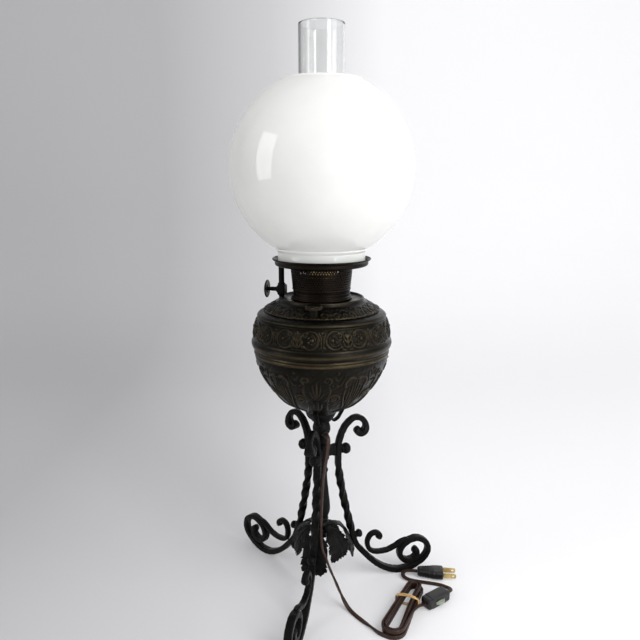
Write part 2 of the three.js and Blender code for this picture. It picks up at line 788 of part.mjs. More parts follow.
const carrierRing = sleeve(wickInner + wickThick, draftRadius + 2 * gap, carrierBottom, carrierBottom + carrierTall, burnerSides);
const armLong = raiserReach + rackWide / 2 - wickInner - wickThick / 2;
const armTall = 0.55 * carrierTall;
const armX = -(raiserReach + rackWide / 2) + armLong / 2;
const arm = block(armLong, rackDeep, armTall, armX, rackSide, carrierBottom + armTall / 2);
piece("wick_carrier", join(carrierRing, arm), copper);

const collarBottom = domeTop + gap;
const collarTop = collarBottom + collarTall;
const collarProfile = [
  [collarRadius - collarWall, collarBottom], [collarFoot, collarBottom], [collarFoot, collarBottom + 0.17 * collarTall],
  [collarRadius + 0.6, collarBottom + 0.32 * collarTall], [collarRadius, collarTop],
  [collarRadius - collarWall, collarTop], [collarRadius - collarWall, collarBottom],
];
piece("burner_collar", turned(collarProfile, burnerSides), copper);

const galleryBottom = collarTop + gap;
const galleryTop = galleryBottom + galleryTall;
const seatTop = galleryBottom + seatTall;
const galleryRadius = collarRadius + 0.4;

function galleryOuter(height) {
  return galleryRadius + (galleryFlare * (height - galleryBottom)) / galleryTall;
}

function galleryGeometry() {
  const seatBottom = seatTop - seatThick;
  const inner = (height) => galleryOuter(height) - galleryWall;
  const shell = turned(
    [
      [inner(galleryBottom), galleryBottom], [galleryRadius, galleryBottom],
      [galleryOuter(galleryTop), galleryTop], [inner(galleryTop), galleryTop], [inner(seatTop), seatTop],
      [seatBore, seatTop], [seatBore, seatBottom], [inner(seatBottom), seatBottom],
      [inner(galleryBottom), galleryBottom],
    ],
    burnerSides,
  );
  const vents = [];
  ventRowHeights.forEach((height, row) => {
    for (let i = 0; i < ventsRound; i++) {
      const drill = crossRod(ventRadius, galleryRadius - 2 * galleryWall, galleryRadius + overrun + galleryFlare, 4);
      const angle = ((i + row / 2) * 2 * Math.PI) / ventsRound;
      vents.push(drill.translate(0, 0, galleryBottom + height).rotateZ(angle));
    }
  });
  return cut(shell, ...vents);
}

piece("gallery", galleryGeometry(), copper);

// Shade ring on three spokes from a collar round the gallery's top
const ringBottom = galleryTop + gap;
const spokeTop = ringBottom + ringWall;

function shadeRing() {
  const ring = turned(
    [
      [ringFloorRadius, ringBottom], [ringRadius - ringWall, ringBottom], [ringRadius, ringBottom + ringWall],
      [ringRadius, ringBottom + 0.65 * ringTall], [ringLip, ringBottom + 0.85 * ringTall],
      [ringLip, ringBottom + ringTall], [ringLip - ringWall, ringBottom + ringTall],
      [ringRadius - ringWall, ringBottom + 0.72 * ringTall], [ringRadius - ringWall, spokeTop],
      [ringFloorRadius, spokeTop], [ringFloorRadius, ringBottom],
    ],
    roundSides,
  );
  const hoopInner = galleryOuter(galleryTop) + 2 * gap;
  const hoop = sleeve(hoopInner + spokeCollar, hoopInner, ringBottom - spokeCollar, spokeTop, roundSides);
  const spokeLong = ringFloorRadius - hoopInner;
  const spokes = Object.values(betweenAngles).map((angle) => {
    const middle = (hoopInner + spokeCollar / 2 + ringFloorRadius + ringWall) / 2;
    const spoke = block(spokeLong, spokeWide, spokeThick, middle, 0, spokeTop - spokeThick / 2);
    return spoke.rotateZ(degrees(angle));
  });
  return join(ring, hoop, ...spokes);
}

piece("shade_ring", shadeRing(), copper);

// Wick raiser: a rack rises in its tube when the pinion on the knob's shaft turns
const pitchRadius = (toothModule * pinionTeeth) / 2;
const toothPitch = Math.PI * toothModule;
const toothOut = 0.6 * toothModule;
const toothIn = 0.95 * toothModule;
const housingBottom = domeTop + 0.17 * domeRise + gap;
const housingTop = housingBottom + housingTall;
const raiserHeight = housingBottom + 0.5 * housingTall;

// The pinion's outline in the plane across its axis, with slack on both sides of each tooth.
function pinionShape() {
  const shape = new THREE.Shape();
  const tip = pitchRadius + toothOut;
  const root = pitchRadius - toothIn;
  for (let i = 0; i < pinionTeeth; i++) {
    const middle = (i / pinionTeeth + 0.25) * 2 * Math.PI;
    const step = Math.PI / pinionTeeth;
    for (const [radius, part] of [[root, -0.62], [tip, -0.2], [tip, 0.2], [root, 0.62]]) {
      const angle = middle + part * step;
      const move = i === 0 && part === -0.62 ? "moveTo" : "lineTo";
      shape[move](radius * Math.cos(angle), radius * Math.sin(angle));
    }
  }
  return shape;
}

// Pieces of the raiser are made about the pinion's axis along X, then brought to their place.
function atRaiser(geometry) {
  return geometry.rotateZ(Math.PI).translate(-raiserReach, 0, raiserHeight);
}

function pinionShaft() {
  const blank = new THREE.ExtrudeGeometry(pinionShape(), { depth: pinionWide, bevelEnabled: false });
  const toothed = blank.translate(0, 0, -pinionWide / 2).rotateY(Math.PI / 2);
  const shaftStart = pinionWide / 2 + gap;
  const shaftEnd = knobReach - raiserReach - knobThick - gap;
  const spindle = crossRod(spindleRadius, -pinionWide / 2, shaftStart + overrun, boltSides);
  const shaft = crossRod(shaftRadius, shaftStart, shaftEnd, boltSides);
  return atRaiser(join(toothed, spindle, shaft));
}

piece("pinion_shaft", pinionShaft(), bronze);
const knobProfile = [
  [0, 0], [0.45 * knobRadius, 0], [0.5 * knobRadius, 0.3 * knobThick], [0.92 * knobRadius, 0.3 * knobThick],
  [knobRadius, 0.5 * knobThick], [0.92 * knobRadius, knobThick], [0, knobThick],
];
const knobDisc = turned(knobProfile, stemSides).rotateY(Math.PI / 2);
piece("wick_knob", atRaiser(knobDisc.translate(knobReach - raiserReach - knobThick, 0, 0)), iron);

const rackTeeth = Math.ceil(wickTravel / toothPitch) + 4;

function rackBar() {
  const bottom = carrierBottom + armTall + gap;
  const firstTooth = raiserHeight - toothPitch / 2 - (rackTeeth - 2) * toothPitch;
  const back = rackSide - rackDeep / 2;
  const root = -pitchRadius - toothIn;
  const tip = -pitchRadius + toothOut;
  const shape = new THREE.Shape();
  shape.moveTo(back, bottom);
  shape.lineTo(root, bottom);
  for (let i = 0; i < rackTeeth; i++) {
    const middle = firstTooth + i * toothPitch;
    shape.lineTo(root, middle - 0.32 * toothPitch);
    shape.lineTo(tip, middle - 0.12 * toothPitch);
    shape.lineTo(tip, middle + 0.12 * toothPitch);
    shape.lineTo(root, middle + 0.32 * toothPitch);
  }
  shape.lineTo(root, firstTooth + rackTeeth * toothPitch);
  shape.lineTo(back, firstTooth + rackTeeth * toothPitch);
  const bar = new THREE.ExtrudeGeometry(shape, { depth: rackWide, bevelEnabled: false });
  return bar.rotateX(Math.PI / 2).rotateZ(Math.PI / 2).translate(-raiserReach - rackWide / 2, 0, 0);
}

piece("rack_bar", rackBar(), copper);

// A tube for the rack from inside the tank up to the shade ring, open towards the pinion
const rackTubeTop = ringBottom - gap;
const rackTubeBottom = domeTop - tubeDrop;
const rackTube = sleeve(tubeRadius, tubeBore, rackTubeBottom, rackTubeTop, boltSides);
rackTube.translate(-raiserReach, rackSide, 0);
const pinionRoom = pitchRadius + toothOut + 2 * gap;
const tubeWindow = atRaiser(crossRod(pinionRoom, -tubeRadius, tubeRadius, stemSides));
piece("rack_tube", cut(rackTube, tubeWindow), bronze);

function raiserHousing() {
  const near = pinionRoom + housingWall;
  const far = rackSide - tubeRadius - gap - housingWall;
  const body = block(
    housingLong, near - far, housingTall, -raiserReach, (near + far) / 2, housingBottom + housingTall / 2,
  );
  const room = atRaiser(crossRod(pinionRoom, -pinionWide / 2 - gap, pinionWide / 2 + gap, stemSides));
  const shaftHole = atRaiser(crossRod(shaftRadius + gap, 0, housingLong, boltSides));
  const tubeHole = rod(tubeRadius + gap, housingBottom - overrun, housingTop + overrun, boltSides);
  return cut(body, room, shaftHole, tubeHole.translate(-raiserReach, rackSide, 0));
}

piece("raiser_housing", raiserHousing(), bronze);

// Ball shade: its fitter neck stands in the ring and its top is open
const shadeBottom = spokeTop + gap;
const lipHeight = shadeBottom + fitterTall;
const shadeCentre = lipHeight + Math.sqrt(shadeRadius ** 2 - shadeFoot ** 2);
const ballSteps = 9;

function shadeOutline() {
  const low = Math.asin(shadeFoot / shadeRadius) - Math.PI / 2;
  const high = Math.PI / 2 - Math.asin(shadeMouth / shadeRadius);
  const ball = [];
  for (let i = 0; i <= ballSteps; i++) {
    const angle = low + (i / ballSteps) * (high - low);
    ball.push([shadeRadius * Math.cos(angle), shadeCentre + shadeRadius * Math.sin(angle)]);
  }
  const foot = [[fitterRadius, shadeBottom], [fitterRadius, lipHeight - 0.35 * fitterTall]];
  return [...foot, ...ball, [shadeMouth + 0.2 * shadeWall, shadeCentre + shadeRadius * Math.sin(high) + shadeLip]];
}

piece("ball_shade", shellOf(shadeOutline(), shadeWall, roundSides), opal);

// Chimney on the gallery's seat
const chimneyShares = [[1, 0], [1, 0.075], [1.13, 0.15], [0.95, 0.22], [0.3, 0.31], [0.02, 0.38], [0, 1]];

function chimneyOutline() {
  const bottom = seatTop + gap;
  const span = chimneyFoot - chimneyRadius;
  const belly = (chimneyBelly - chimneyRadius) / span / 1.13;
  return chimneyShares.map(([out, up], i) => {
    const swell = i < 2 ? 1 : belly;
    return [chimneyRadius + out * span * (i < 2 ? 1 : swell), bottom + up * (lampHeight - bottom)];
  });
}

piece("chimney", shellOf(chimneyOutline(), chimneyWall, burnerSides), clearGlass);

// Electric lampholder and bulb
const socketBottom = draftTop + gap;
const socketTop = socketBottom + socketTall;
const socketProfile = [
  [leadTube + 2 * gap, socketBottom], [socketFoot, socketBottom], [socketFoot, socketBottom + overrun],
  [socketRadius, socketBottom + socketFloor], [socketRadius, socketTop], [socketRadius - socketWall, socketTop],
  [socketRadius - socketWall, socketBottom + 2 * socketFloor], [leadTube + 2 * gap, socketBottom + 2 * socketFloor],
  [leadTube + 2 * gap, socketBottom],
];
piece("lamp_socket", turned(socketProfile, burnerSides), brass);
const lampBulbBottom = socketBottom + 2 * socketFloor + gap;
const lampBulbShares = [
  [0.76, 0], [0.76, 0.3], [0.85, 0.4], [1, 0.6], [0.97, 0.75], [0.78, 0.88], [0.42, 0.97], [0, 1],
];
const lampBulbOutline = lampBulbShares.map(([out, up]) => {
  const radius = up <= 0.3 ? bulbNeck : out * lampBulbRadius;
  return [out === 0 ? 0 : radius, lampBulbBottom + up * lampBulbTall];
});
piece("lamp_bulb", turned([[0, lampBulbBottom], ...lampBulbOutline], stemSides), clearGlass);

// Cord: a plain tube along each free stretch
function cordSection(radius) {
  const shape = new THREE.Shape();
  for (let i = 0; i < 8; i++) {
    const angle = ((i + 0.5) * Math.PI) / 4;
    const move = i === 0 ? "moveTo" : "lineTo";
    shape[move](radius * Math.cos(angle), radius * Math.sin(angle));
  }
  return shape;
}

function cordTubeAlong(points, radius, steps) {
  const route = new THREE.CatmullRomCurve3(points.map(([x, y, z]) => new THREE.Vector3(x, y, z)));
  return new THREE.ExtrudeGeometry(cordSection(radius), { steps, extrudePath: route, bevelEnabled: false });
}

// The lead inside the lamp: down the draft tube and the pipe, then out sideways.
function innerLead() {
  const out = new THREE.Vector3(Math.cos(degrees(exitAngle)), Math.sin(degrees(exitAngle)), 0);
  const turn = exitHeight + exitBend;
  const points = [[0, 0, socketBottom + socketFloor]];
  for (let i = 1; i <= 5; i++) {
    const height = socketBottom + socketFloor + (i / 5) * (turn + exitBend - socketBottom - socketFloor);
    points.push([0, 0, height]);
  }
  for (let i = 0; i <= 4; i++) {
    const angle = (i / 4) * (Math.PI / 2);
    const far = exitBend * (1 - Math.cos(angle));
    points.push([out.x * far, out.y * far, turn - exitBend * Math.sin(angle)]);
  }
  const mouth = bushStart + bushLong;
  points.push([out.x * mouth, out.y * mouth, exitHeight]);
  return cordTubeAlong(points, leadTube, 32);
}

piece("inner_lead", innerLead(), cordBrown);

// From the bushing down beside the front leg, over the leaf and along the floor to the hank
const cordLeadPoints = [
  [8.26, -10.58, 208.87], [10.1, -12.9, 208.8], [11.9, -15.3, 207], [12.5, -17.2, 202], [12.1, -18.6, 195],
  [11.2, -20.2, 187], [9.4, -22.6, 170], [8.8, -28.8, 152], [9.0, -33.0, 135], [9.1, -36.8, 118],
  [9.6, -39.6, 101], [11.2, -43.6, 84], [14.2, -47.4, 76], [17.2, -48.2, 70], [21.0, -47.6, 59],
  [24.8, -46.4, 48.8], [28.4, -44.2, 38], [31.4, -41.2, 27], [34.6, -38.8, 17], [38.8, -39.0, 8.5],
  [44.6, -42.4, 3.6], [53.4, -49.8, 2.2], [64.5, -58.5, 2.2], [75.0, -66.0, 2.2], [82.4, -72.4, 2.3],
  [87.2, -76.2, 2.5], [92.2, -78.3, 2.7],
];
piece("cord_lead", cordTubeAlong(cordLeadPoints, cordTube, 40), cordBrown);

// Hank: the cord stands on edge and its loops spiral in on the floor, climb, and spiral out on top.
// Place 0 is the middle of the lower fold; a loop has 7 steps to a fold and 5 to a run.
const hankPlace = new THREE.Vector3(98.4, -79.7, 0);
const hankTurn = -11.6;
const hankWaist = 66;
const foldSteps = 7;
const runSteps = 5;
const loopSteps = 2 * (foldSteps + runSteps);
const hankEnd = hankLoops + Math.ceil(foldSteps / 2) / loopSteps;
const hankReverse = (hankLoops + 0.5) / 2;
const hankLift = bandThick + 2 * gap;

function hankPoint(place) {
  const turns = place < hankReverse ? place : 2 * hankReverse - place;
  const run = hankLong / 2 - hankHalf;
  const step = (((place % 1) + 1) % 1) * loopSteps;
  const firstRun = foldSteps / 2;
  const upperFold = firstRun + runSteps;
  const secondRun = upperFold + foldSteps;
  const lastFold = secondRun + runSteps;
  const upShare = THREE.MathUtils.clamp(Math.min(step - firstRun, lastFold - step) / runSteps, 0, 1);
  const half = hankHalf - hankStep * turns - hankTaper * upShare;
  let x;
  let y;
  if (step < firstRun || step >= lastFold) {
    const angle = ((step < firstRun ? step : step - loopSteps) / foldSteps) * Math.PI;
    x = half * Math.sin(angle);
    y = -run - half * Math.cos(angle);
  } else if (step < upperFold) {
    x = half;
    y = -run + ((step - firstRun) / runSteps) * 2 * run;
  } else if (step < secondRun) {
    const angle = ((step - upperFold) / foldSteps) * Math.PI;
    x = half * Math.cos(angle);
    y = run + half * Math.sin(angle);
  } else {
    x = -half;
    y = run - ((step - secondRun) / runSteps) * 2 * run;
  }
  const fromFoot = y + hankLong / 2;
  const away = (fromFoot - hankWaist) / (hankLong - hankWaist);
  const draw = Math.max(0, 1 - away ** 2) ** 2;
  const climbed = THREE.MathUtils.smoothstep(place, hankReverse - 0.25, hankReverse + 0.25);
  const height = cordWidth / 2 + hankLift * draw + climbed * (cordWidth + hankClear);
  return new THREE.Vector3(x * (1 - hankDraw * draw), fromFoot, height);
}

function hankGeometry() {
  const section = [[0.5, -0.28], [0, -0.5], [-0.5, -0.28], [-0.5, 0.28], [0, 0.5], [0.5, 0.28]];
  const count = Math.round(hankEnd * loopSteps);
  const centres = [];
  for (let i = 0; i <= count; i++) centres.push(hankPoint(i / loopSteps));
  const small = 1e-3;
  const heading = (place) => {
    return hankPoint(place + small).sub(hankPoint(place - small)).setZ(0).normalize();
  };
  const first = centres[0].clone().addScaledVector(heading(0), -cordWidth);
  const last = centres[count].clone().addScaledVector(heading(hankEnd), cordWidth);
  const stops = [first, ...centres, last];
  const rings = stops.map((centre, i) => {
    const at = THREE.MathUtils.clamp((i - 1) / loopSteps, 0, hankEnd);
    const along = heading(at);
    const side = new THREE.Vector3(along.y, -along.x, 0);
    return section.map(([across, up]) => {
      return centre.clone().addScaledVector(side, across * cordThick).setZ(centre.z + up * cordWidth);
    });
  });
  reportHank(rings);
  return loft(rings);
}

// Prints the least gap between points of loops that are at least a third of a loop apart.
function reportHank(rings) {
  const dense = [];
  rings.forEach((ring, i) => {
    const next = rings[Math.min(i + 1, rings.length - 1)];
    ring.forEach((p, k) => {
      const q = ring[(k + 1) % ring.length];
      for (const share of [0, 0.5]) {
        const a = p.clone().lerp(q, share);
        const b = next[k].clone().lerp(next[(k + 1) % ring.length], share);
        for (const t of [0, 0.25, 0.5, 0.75]) dense.push([i + t, a.clone().lerp(b, t)]);
      }
    });
  });
  let least = Infinity;
  dense.forEach(([i, p], n) => {
    for (let m = n + 1; m < dense.length; m++) {
      if (Math.abs(dense[m][0] - i) > loopSteps / 3) least = Math.min(least, p.distanceTo(dense[m][1]));
    }
  });
  console.log("hank: least gap to itself " + least.toFixed(2) + " mm");
}

const hankGroup = new THREE.Group();
hankGroup.position.copy(hankPlace);
hankGroup.rotation.z = degrees(hankTurn);
nodes.add(hankGroup);
piece("cord_hank", hankGeometry(), cordBrown, hankGroup);

// Rubber band round the hank's waist
function bandGeometry() {
  const taperHere = (hankTaper * (hankWaist - hankHalf)) / (hankLong - 2 * hankHalf);
  const halfWide = (hankHalf - taperHere) * (1 - hankDraw) + cordThick / 2 + gap;
  const low = bandThick + gap / 2;
  const high = hankLift + 2 * cordWidth + hankClear + gap;
  const ring = (grow) => {
    const corners = [];
    const round = Math.min(halfWide, (high - low) / 2) * 0.5;
    for (const [sx, sz, start] of [[1, 0, -90], [1, 1, 0], [-1, 1, 90], [-1, 0, 180]]) {
      for (let i = 0; i <= 2; i++) {
        const angle = degrees(start + i * 45);
        const x = sx * (halfWide - round) + (round + grow) * Math.cos(angle);
        const z = (sz ? high - round : low + round) + (round + grow) * Math.sin(angle);
        corners.push(new THREE.Vector2(x, z));
      }
    }
    return corners;
  };
  const shape = new THREE.Shape(ring(bandThick));
  shape.holes.push(new THREE.Path(ring(0)));
  const band = new THREE.ExtrudeGeometry(shape, { depth: bandWide, bevelEnabled: false });
  return band.rotateX(Math.PI / 2).translate(0, hankWaist + bandWide / 2, 0);
}

piece("hank_band", bandGeometry(), rubberTan, hankGroup);

// Switch on the cord: two half shells, and a thumb wheel on the lower half's pin
const switchPlace = new THREE.Vector2(145, -2.5);
const switchGroup = new THREE.Group();
switchGroup.position.set(switchPlace.x, switchPlace.y, 0);
switchGroup.rotation.z = degrees(50);
nodes.add(switchGroup);
const splitHeight = switchTall / 2;

function roundedPlate(long, wide, thick, corner) {
  const shape = new THREE.Shape();
  const [x, y] = [long / 2 - corner, wide / 2 - corner];
  for (const [cx, cy, start] of [[x, y, 0], [-x, y, 90], [-x, -y, 180], [x, -y, 270]]) {
    for (let i = 0; i <= 3; i++) {
      const angle = degrees(start + i * 30);
      const move = start === 0 && i === 0 ? "moveTo" : "lineTo";
      shape[move](cx + corner * Math.cos(angle), cy + corner * Math.sin(angle));
    }
  }
  return new THREE.ExtrudeGeometry(shape, { depth: thick, bevelEnabled: false });
}

const wheelRoom = wheelThick / 2 + gap;
const wheelPocket = rod(wheelRadius + 2 * gap, splitHeight - wheelRoom, splitHeight + wheelRoom, stemSides);
wheelPocket.translate(0, -wheelOffset, 0);
const halfThick = splitHeight - gap / 2;
const switchCorner = switchWide / 5;
const lowerHalf = cut(roundedPlate(switchLong, switchWide, halfThick, switchCorner), wheelPocket);
const pin = rod(wheelPin, splitHeight - wheelRoom - overrun, splitHeight + wheelThick / 2, boltSides);
piece("switch_lower", join(lowerHalf, pin.translate(0, -wheelOffset, 0)), blackPlastic, switchGroup);
const upperPlate = roundedPlate(switchLong, switchWide, halfThick, switchCorner);
upperPlate.translate(0, 0, splitHeight + gap / 2);
piece("switch_upper", cut(upperPlate, wheelPocket), blackPlastic, switchGroup);
const wheelLow = splitHeight - wheelThick / 2;
const wheel = sleeve(wheelRadius, wheelPin + gap, wheelLow, wheelLow + wheelThick, stemSides);
piece("switch_wheel", wheel.translate(0, -wheelOffset, 0), wheelGrey, switchGroup);

// Plug, lying on its broad side, with two flat blades
const plugPlace = new THREE.Vector2(117.7, 48.8);
const plugGroup = new THREE.Group();
plugGroup.position.set(plugPlace.x, plugPlace.y, 0);
plugGroup.rotation.z = degrees(7.6);
nodes.add(plugGroup);
const plugShares = [[0, 0.27], [0.12, 0.33], [0.4, 0.42], [0.75, 0.5], [1, 0.5]];

function plugBody() {
  const rings = plugShares.map(([along, out]) => {
    const halfWide = plugWide * out;
    const tall = plugTall * (0.7 + 0.6 * (out - 0.27));
    const low = (plugTall - tall) * 0.5;
    return [[-0.8, 0], [0.8, 0], [1, 0.25], [1, 0.75], [0.8, 1], [-0.8, 1], [-1, 0.75], [-1, 0.25]].map(
      ([side, up]) => new THREE.Vector3(along * plugLong, side * halfWide, low + up * tall),
    );
  });
  return loft(rings);
}

piece("plug_body", plugBody(), blackPlastic, plugGroup);
for (const [name, side] of [["plug_blade_near", -1], ["plug_blade_far", 1]]) {
  const middle = plugLong + gap + bladeLong / 2;
  const blade = block(bladeLong, bladeThick, bladeTall, middle, (side * bladeSpacing) / 2, plugTall / 2);
  const hole = rod(bladeHole, -bladeThick, bladeThick, boltSides).rotateX(Math.PI / 2);
  hole.translate(plugLong + 0.8 * bladeLong, (side * bladeSpacing) / 2, plugTall / 2);
  piece(name, cut(blade, hole), brass, plugGroup);
}

// From the hank to the switch, and from the switch round to the plug
const cordTailPoints = [
  [117.3, -54.6, 8.69], [118.4, -49.3, 8.8], [119.9, -42.6, 9.1], [122, -35.6, 9.4], [124.8, -29.2, 9.4],
  [128.2, -23.6, 8.6], [130.7, -19.9, 7.5], [133.17, -16.6, 7],
];
piece("cord_tail", cordTubeAlong(cordTailPoints, cordTube, 12), cordBrown);
const cordPlugPoints = [
  [156.83, 11.6, 7], [159.8, 15.3, 6.7], [161.6, 20, 5.6], [160.4, 25.4, 4.2], [156, 29.8, 3.1], [149.5, 32.5, 2.8],
  [141, 33.5, 2.7], [130, 33.5, 2.7], [118.4, 33.6, 2.7], [107.6, 34.8, 2.9], [101.2, 38, 3.6], [99.6, 42.8, 4.8],
  [102.8, 46.4, 6], [109, 47.65, 6.5], [117.4, 48.76, 6.5],
];
piece("cord_to_plug", cordTubeAlong(cordPlugPoints, cordTube, 24), cordBrown);

// The origin stands on the floor under the middle of the lamp's box, cord left out.
nodes.position.y = (footReach + barThick / 2 - shadeRadius) / 2;

export default lamp;
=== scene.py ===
"""The looks of a banquet lamp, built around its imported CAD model.

Shapes are worked out in millimetres from the lamp's own axis, as part.mjs does, and placed() brings
them to metres in the shared frame. Driving dimensions carry the names that they have in part.mjs.
"""

import bmesh
import bpy
import numpy as np
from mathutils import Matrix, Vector


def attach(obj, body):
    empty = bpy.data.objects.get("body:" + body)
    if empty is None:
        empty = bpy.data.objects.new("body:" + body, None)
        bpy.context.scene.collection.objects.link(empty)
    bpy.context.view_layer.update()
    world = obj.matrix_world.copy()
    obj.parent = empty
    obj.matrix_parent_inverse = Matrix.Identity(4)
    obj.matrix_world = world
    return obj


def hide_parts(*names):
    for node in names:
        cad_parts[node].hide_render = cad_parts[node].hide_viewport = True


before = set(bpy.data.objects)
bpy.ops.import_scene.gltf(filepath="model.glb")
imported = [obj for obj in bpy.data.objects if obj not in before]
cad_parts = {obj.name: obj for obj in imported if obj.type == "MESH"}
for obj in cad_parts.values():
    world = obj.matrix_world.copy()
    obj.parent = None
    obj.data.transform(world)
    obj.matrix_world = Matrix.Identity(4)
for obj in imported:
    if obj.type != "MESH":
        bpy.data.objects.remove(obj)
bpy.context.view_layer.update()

MM = 0.001
TAU = 2 * np.pi
AXIS_BACK = 24.05  # the lamp's axis stands this far behind the origin
SIDEWAYS, UPRIGHT = np.array([0.0, 1.0, 0.0]), np.array([0.0, 0.0, 1.0])
clearance = 0.3  # between pieces that touch


# ---------------------------------------------------------------- arrays

def placed(points):
    """Millimetres from the lamp's axis become metres in the shared frame."""
    return (np.asarray(points, float) + [0, AXIS_BACK, 0]) * MM


def turned_about(points, angle, centre=(0, 0, 0)):
    """Points turned about an upright line by an angle in degrees, then moved to centre."""
    points = np.asarray(points, float)
    c, s = np.cos(np.radians(angle)), np.sin(np.radians(angle))
    x, y, z = points[..., 0], points[..., 1], points[..., 2]
    return np.stack([x * c - y * s, x * s + y * c, z], -1) + np.asarray(centre, float)


def smoothstep(x, low, high):
    t = np.clip((np.asarray(x, float) - low) / (high - low), 0, 1)
    return t * t * (3 - 2 * t)


def bump(x, centre, half):
    """A smooth hill of height 1, as wide as 2 half, squared cosine in shape."""
    return np.cos(np.clip((x - centre) / half, -1, 1) * np.pi / 2) ** 2


def ripple(angle, far, height, seed, waves=5, pitch=1.0):
    """Uneven surface round an axis, which closes on itself: a sum of plain sine waves through space.

    Each wave has its own direction, start and length, and is read at the place that an angle, a
    distance from the axis and a height give.
    """
    rng = np.random.default_rng(seed)
    x, y = far * np.cos(angle), far * np.sin(angle)
    total = 0
    for _ in range(waves):
        heading, phase, size = unit(rng.normal(size=3)), rng.uniform(0, TAU), rng.uniform(0.6, 1.5)
        total = total + np.sin(
            (x * heading[0] + y * heading[1] + height * heading[2]) * TAU / (pitch * size) + phase
        )
    return total / waves


def circle(count):
    """The angles of one turn in even steps."""
    return np.arange(count) / count * TAU


def curve(points, count):
    """Centripetal Catmull-Rom through points, the same number of steps to each stretch.

    Each stretch is the cubic whose end tangents come from its neighbours, spaced by the root of
    their distance. Returns positions and unit tangents at count + 1 even places.
    """
    p = np.asarray(points, float)
    p = np.vstack([2 * p[0] - p[1], p, 2 * p[-1] - p[-2]])
    place = np.linspace(0, 1, count + 1) * (len(p) - 3)
    i = np.minimum(place.astype(int), len(p) - 4)
    w = (place - i)[:, None]
    x0, x1, x2, x3 = p[i], p[i + 1], p[i + 2], p[i + 3]
    gap = lambda a, b: np.maximum(np.sqrt(np.linalg.norm(b - a, axis=1)), 1e-6)[:, None]
    d0, d1, d2 = gap(x0, x1), gap(x1, x2), gap(x2, x3)
    t1 = ((x1 - x0) / d0 - (x2 - x0) / (d0 + d1) + (x2 - x1) / d1) * d1
    t2 = ((x2 - x1) / d1 - (x3 - x1) / (d1 + d2) + (x3 - x2) / d2) * d1
    a, b = -3 * x1 + 3 * x2 - 2 * t1 - t2, 2 * x1 - 2 * x2 + t1 + t2
    at_place = x1 + t1 * w + a * w**2 + b * w**3
    slope = t1 + 2 * a * w + 3 * b * w**2
    return at_place, unit(slope)


def unit(v):
    return v / np.maximum(np.linalg.norm(v, axis=-1, keepdims=True), 1e-12)


def evenly(points, count):
    """The same line walked at even steps: places are read off the summed lengths of its steps."""
    dense, _ = curve(points, 60 * len(points))
    walked = np.concatenate([[0], np.cumsum(np.linalg.norm(np.diff(dense, axis=0), axis=1))])
    goal = np.linspace(0, walked[-1], count)
    line = np.stack([np.interp(goal, walked, dense[:, k]) for k in range(dense.shape[1])], 1)
    return line, unit(np.gradient(line, axis=0))


def length_of(line):
    return float(np.linalg.norm(np.diff(np.asarray(line), axis=0), axis=1).sum())


def grid_faces(rows, columns, wrap=True, first=0):
    """Four-sided faces of a grid whose columns run counter-clockwise and whose rows run upwards."""
    i, j = np.meshgrid(np.arange(rows - 1), np.arange(columns if wrap else columns - 1), indexing="ij")
    k = (j + 1) % columns
    quads = np.stack([i * columns + j, i * columns + k, (i + 1) * columns + k, (i + 1) * columns + j], -1)
    return quads.reshape(-1, 4) + first


def new_mesh(name, points, faces, finish, marks=None, sharp=None):
    """An object from arrays of corners and faces; marks are numbers at the corners, by name."""
    mesh = bpy.data.meshes.new(name)
    mesh.from_pydata(placed(points).tolist(), [], np.asarray(faces).tolist())
    for mark, values in (marks or {}).items():
        mesh.attributes.new(mark, "FLOAT", "POINT").data.foreach_set(
            "value", np.ravel(values).astype(np.float32)
        )
    weld = bmesh.new()
    weld.from_mesh(mesh)
    bmesh.ops.remove_doubles(weld, verts=weld.verts, dist=2e-6)
    weld.to_mesh(mesh)
    weld.free()
    mesh.materials.append(finish)
    mesh.shade_smooth()
    if sharp:
        mesh.set_sharp_from_angle(angle=np.radians(sharp))
    piece = bpy.data.objects.new(name, mesh)
    bpy.context.scene.collection.objects.link(piece)
    return piece


def add_piece(name, shell, finish, body, slot, *nodes, turn=0, marks=None, sharp=40):
    """A mesh from corners and faces, turned about the axis, that stands for CAD nodes."""
    points, faces = shell
    piece = new_mesh(name, turned_about(points, turn), faces, finish, marks, sharp)
    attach(piece, body)
    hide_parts(*nodes)
    return piece


def tube(line, across, out, section_across, section_out):
    """A section carried along a line: each ring is the section laid in that place's own two directions.

    A direction is one for the whole line or one for each place. The section runs counter-clockwise in
    (out, across), and its arrays may differ from ring to ring.
    """
    across, out = np.broadcast_to(across, line.shape), np.broadcast_to(out, line.shape)
    return line[:, None] + out[:, None] * section_out[..., None] + across[:, None] * section_across[..., None]


def closed_tube(rings):
    """Corners and faces of a row of rings whose two ends are drawn together into a point."""
    count = rings.shape[1]
    ends = [rings[0].mean(0), rings[-1].mean(0)]
    points = np.concatenate(
        [np.repeat(ends[0][None], count, 0), rings.reshape(-1, 3), np.repeat(ends[1][None], count, 0)]
    )
    return points, grid_faces(len(rings) + 2, count)


def flat_twin(count, wide, thick):
    """Section of a flat two-wire cord: two round wires side by side with a groove between them."""
    angle = circle(count)
    half = thick / 2
    lobe = np.sign(np.sin(angle)) * (wide / 2 - half)
    across = lobe + half * np.sin(angle)
    out = half * np.cos(angle)
    groove = 1 - 0.3 * np.exp(-((across / 0.75) ** 2))
    return across, out * groove


# ---------------------------------------------------------------- camera

